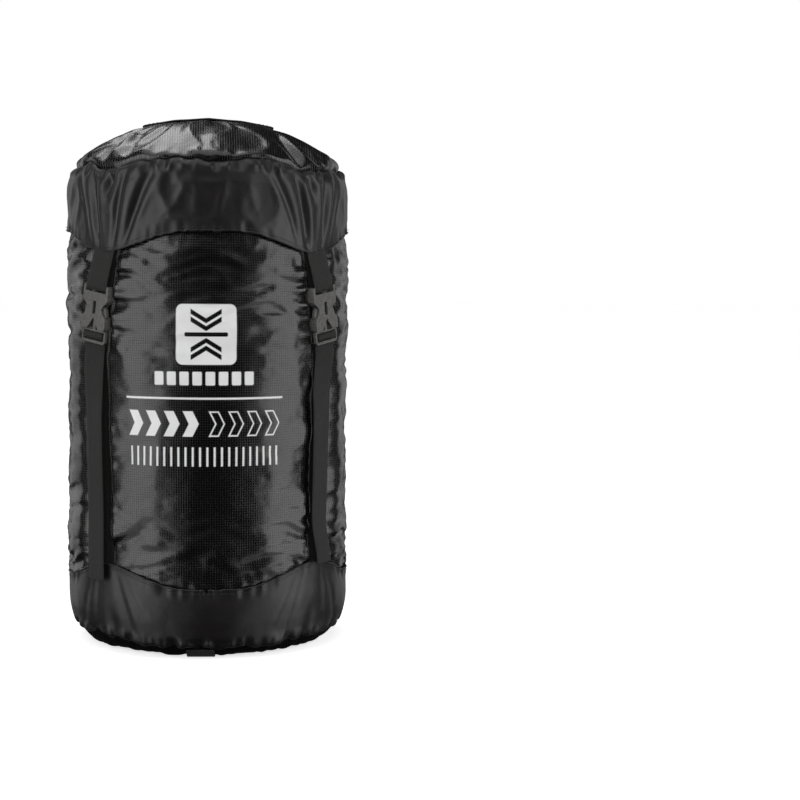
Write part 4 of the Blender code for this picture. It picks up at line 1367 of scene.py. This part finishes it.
def build_base_handle():
    """Flat under the base from front to back, and sewn into the seam at both ends."""
    turned = Matrix.Rotation(pi / 2 + BASE_HANDLE_TURN, 3, "Z")
    half = WEBBING_THICKNESS / 2
    shares = (1.012, 1, 0.985, 0.965, 0.94, 0.91, 0.88, 0.6, 0.3)
    reaches = [BASE_HANDLE_HALF_LENGTH * share for share in shares]
    outer = [(-reach, base_surface(reach) + half) for reach in reaches]
    line = outer + [(0, half)] + [(-place, height) for place, height in outer[::-1]]
    points = [turned @ Vector((place, 0, height)) for place, height in line]
    across = turned @ Vector((0, 1, 0))
    item = ribbon("base_handle", flat_stations(smooth_path(points, 3), across))
    attach(item, "root", "webbing", "base_grab_handle")


STITCH_LENGTH = 0.0023
STITCH_PITCH = 0.0031
STITCH_RADIUS = 0.00022
STITCH_SIDES = 6
STITCH_SIZES = (0.35, 0.9, 1.0, 0.9, 0.35)


def stitches(name, lines, body):
    """Rows of lockstitch: short bowed lengths of thread, one after another along each line."""
    points, faces = [], []
    last = len(STITCH_SIZES) - 1
    for line in lines:
        reach = [0.0]
        for first, second in zip(line, line[1:]):
            reach.append(reach[-1] + (second - first).length)
        count = max(1, int(reach[-1] / STITCH_PITCH))
        for number in range(count):
            start = (number + 0.5) * reach[-1] / count - STITCH_LENGTH / 2
            steps = [STITCH_LENGTH * part / last for part in range(last + 1)]
            add_stitch(points, faces, [place_on(line, reach, start + step) for step in steps])
    item = new_mesh(name, points, faces, THREAD)
    finish_mesh(item)
    attach(item, body, "cord")


def place_on(line, reach, distance):
    """The point at a distance along a line, whose points lie at the distances in reach."""
    distance = min(max(distance, 0.0), reach[-1])
    index = max(k for k in range(len(reach) - 1) if reach[k] <= distance)
    part = (distance - reach[index]) / max(reach[index + 1] - reach[index], 1e-9)
    return line[index].lerp(line[index + 1], part)


def add_stitch(points, faces, centres):
    """One stitch: a thin bowed tube that narrows where it enters the cloth."""
    along = (centres[-1] - centres[0]).normalized()
    middle = centres[2]
    on_dome = abs(along.z) < 0.4 and middle.z > LID_SEAM_Z
    outward = UPWARD if on_dome else Vector((middle.x, middle.y, 0)).normalized()
    outward = (outward - along * outward.dot(along)).normalized()
    across = along.cross(outward)
    low = len(points)
    for centre, size in zip(centres, STITCH_SIZES):
        lift = (size - 0.7) * 0.0003
        for turn in turns(STITCH_SIDES):
            ring = across * cos(turn) + outward * sin(turn)
            points.append(centre + outward * lift + ring * STITCH_RADIUS * size)
    for face in tube_faces(len(centres), STITCH_SIDES):
        faces.append(tuple(low + corner for corner in face))


# Build

add_camera()
add_lights()
add_world()
add_floor()
BODY_RIPSTOP = ripstop_material("printed black ripstop", printed=True)
DOME_RIPSTOP = ripstop_material("black ripstop across", flat=True)
SKIRT_TAFFETA = taffeta_material("charcoal taffeta")
HEM_TAFFETA = taffeta_material("rolled charcoal taffeta")
STRAP_WEBBING = webbing_material("charcoal webbing")
BLACK_CORD = cord_material("braided black cord")
THREAD = thread_material("bonded thread")

build_straps()
build_body_cloth()
build_skirt(
    "lid", "lid", 30, LID_SHOULDER, LID_SEAM_Z, LID_HEM, LID_SEEDS, lid_droop, 0.0056
)
build_skirt(
    "base", "root", 26, BASE_CORNER, BASE_SEAM_Z, BASE_HEM, BASE_SEEDS, base_droop, 0.0014
)
build_dome()
build_base_panel()
build_mouth()
build_drawcord()
build_top_handle()
build_base_handle()
build_edges("lid", "lid", LID_HEM, 0.0032, LID_SEEDS[2], lid_droop, 0.1190, 0.4425)
build_edges("base", "root", BASE_HEM, -0.0032, BASE_SEEDS[2], base_droop, 0.1150, 0.0125)

SLOT_MATERIALS = {
    "ripstop": ripstop_material("black ripstop"),
    "taffeta": SKIRT_TAFFETA,
    "webbing": STRAP_WEBBING,
    # The buckles' black acetal, with its sheen painted into a lighter base colour
    "buckle_plastic": plastic_material("dark grey acetal"),
    "cord": BLACK_CORD,
    "spring_steel": steel_material("spring steel"),
}
slots = {part["node"]: part["material_slot"] for part in frame["record"]["subparts"]}
for node_name, node in frame["nodes"].items():
    node.data.materials.clear()
    node.data.materials.append(SLOT_MATERIALS[slots[node_name]])
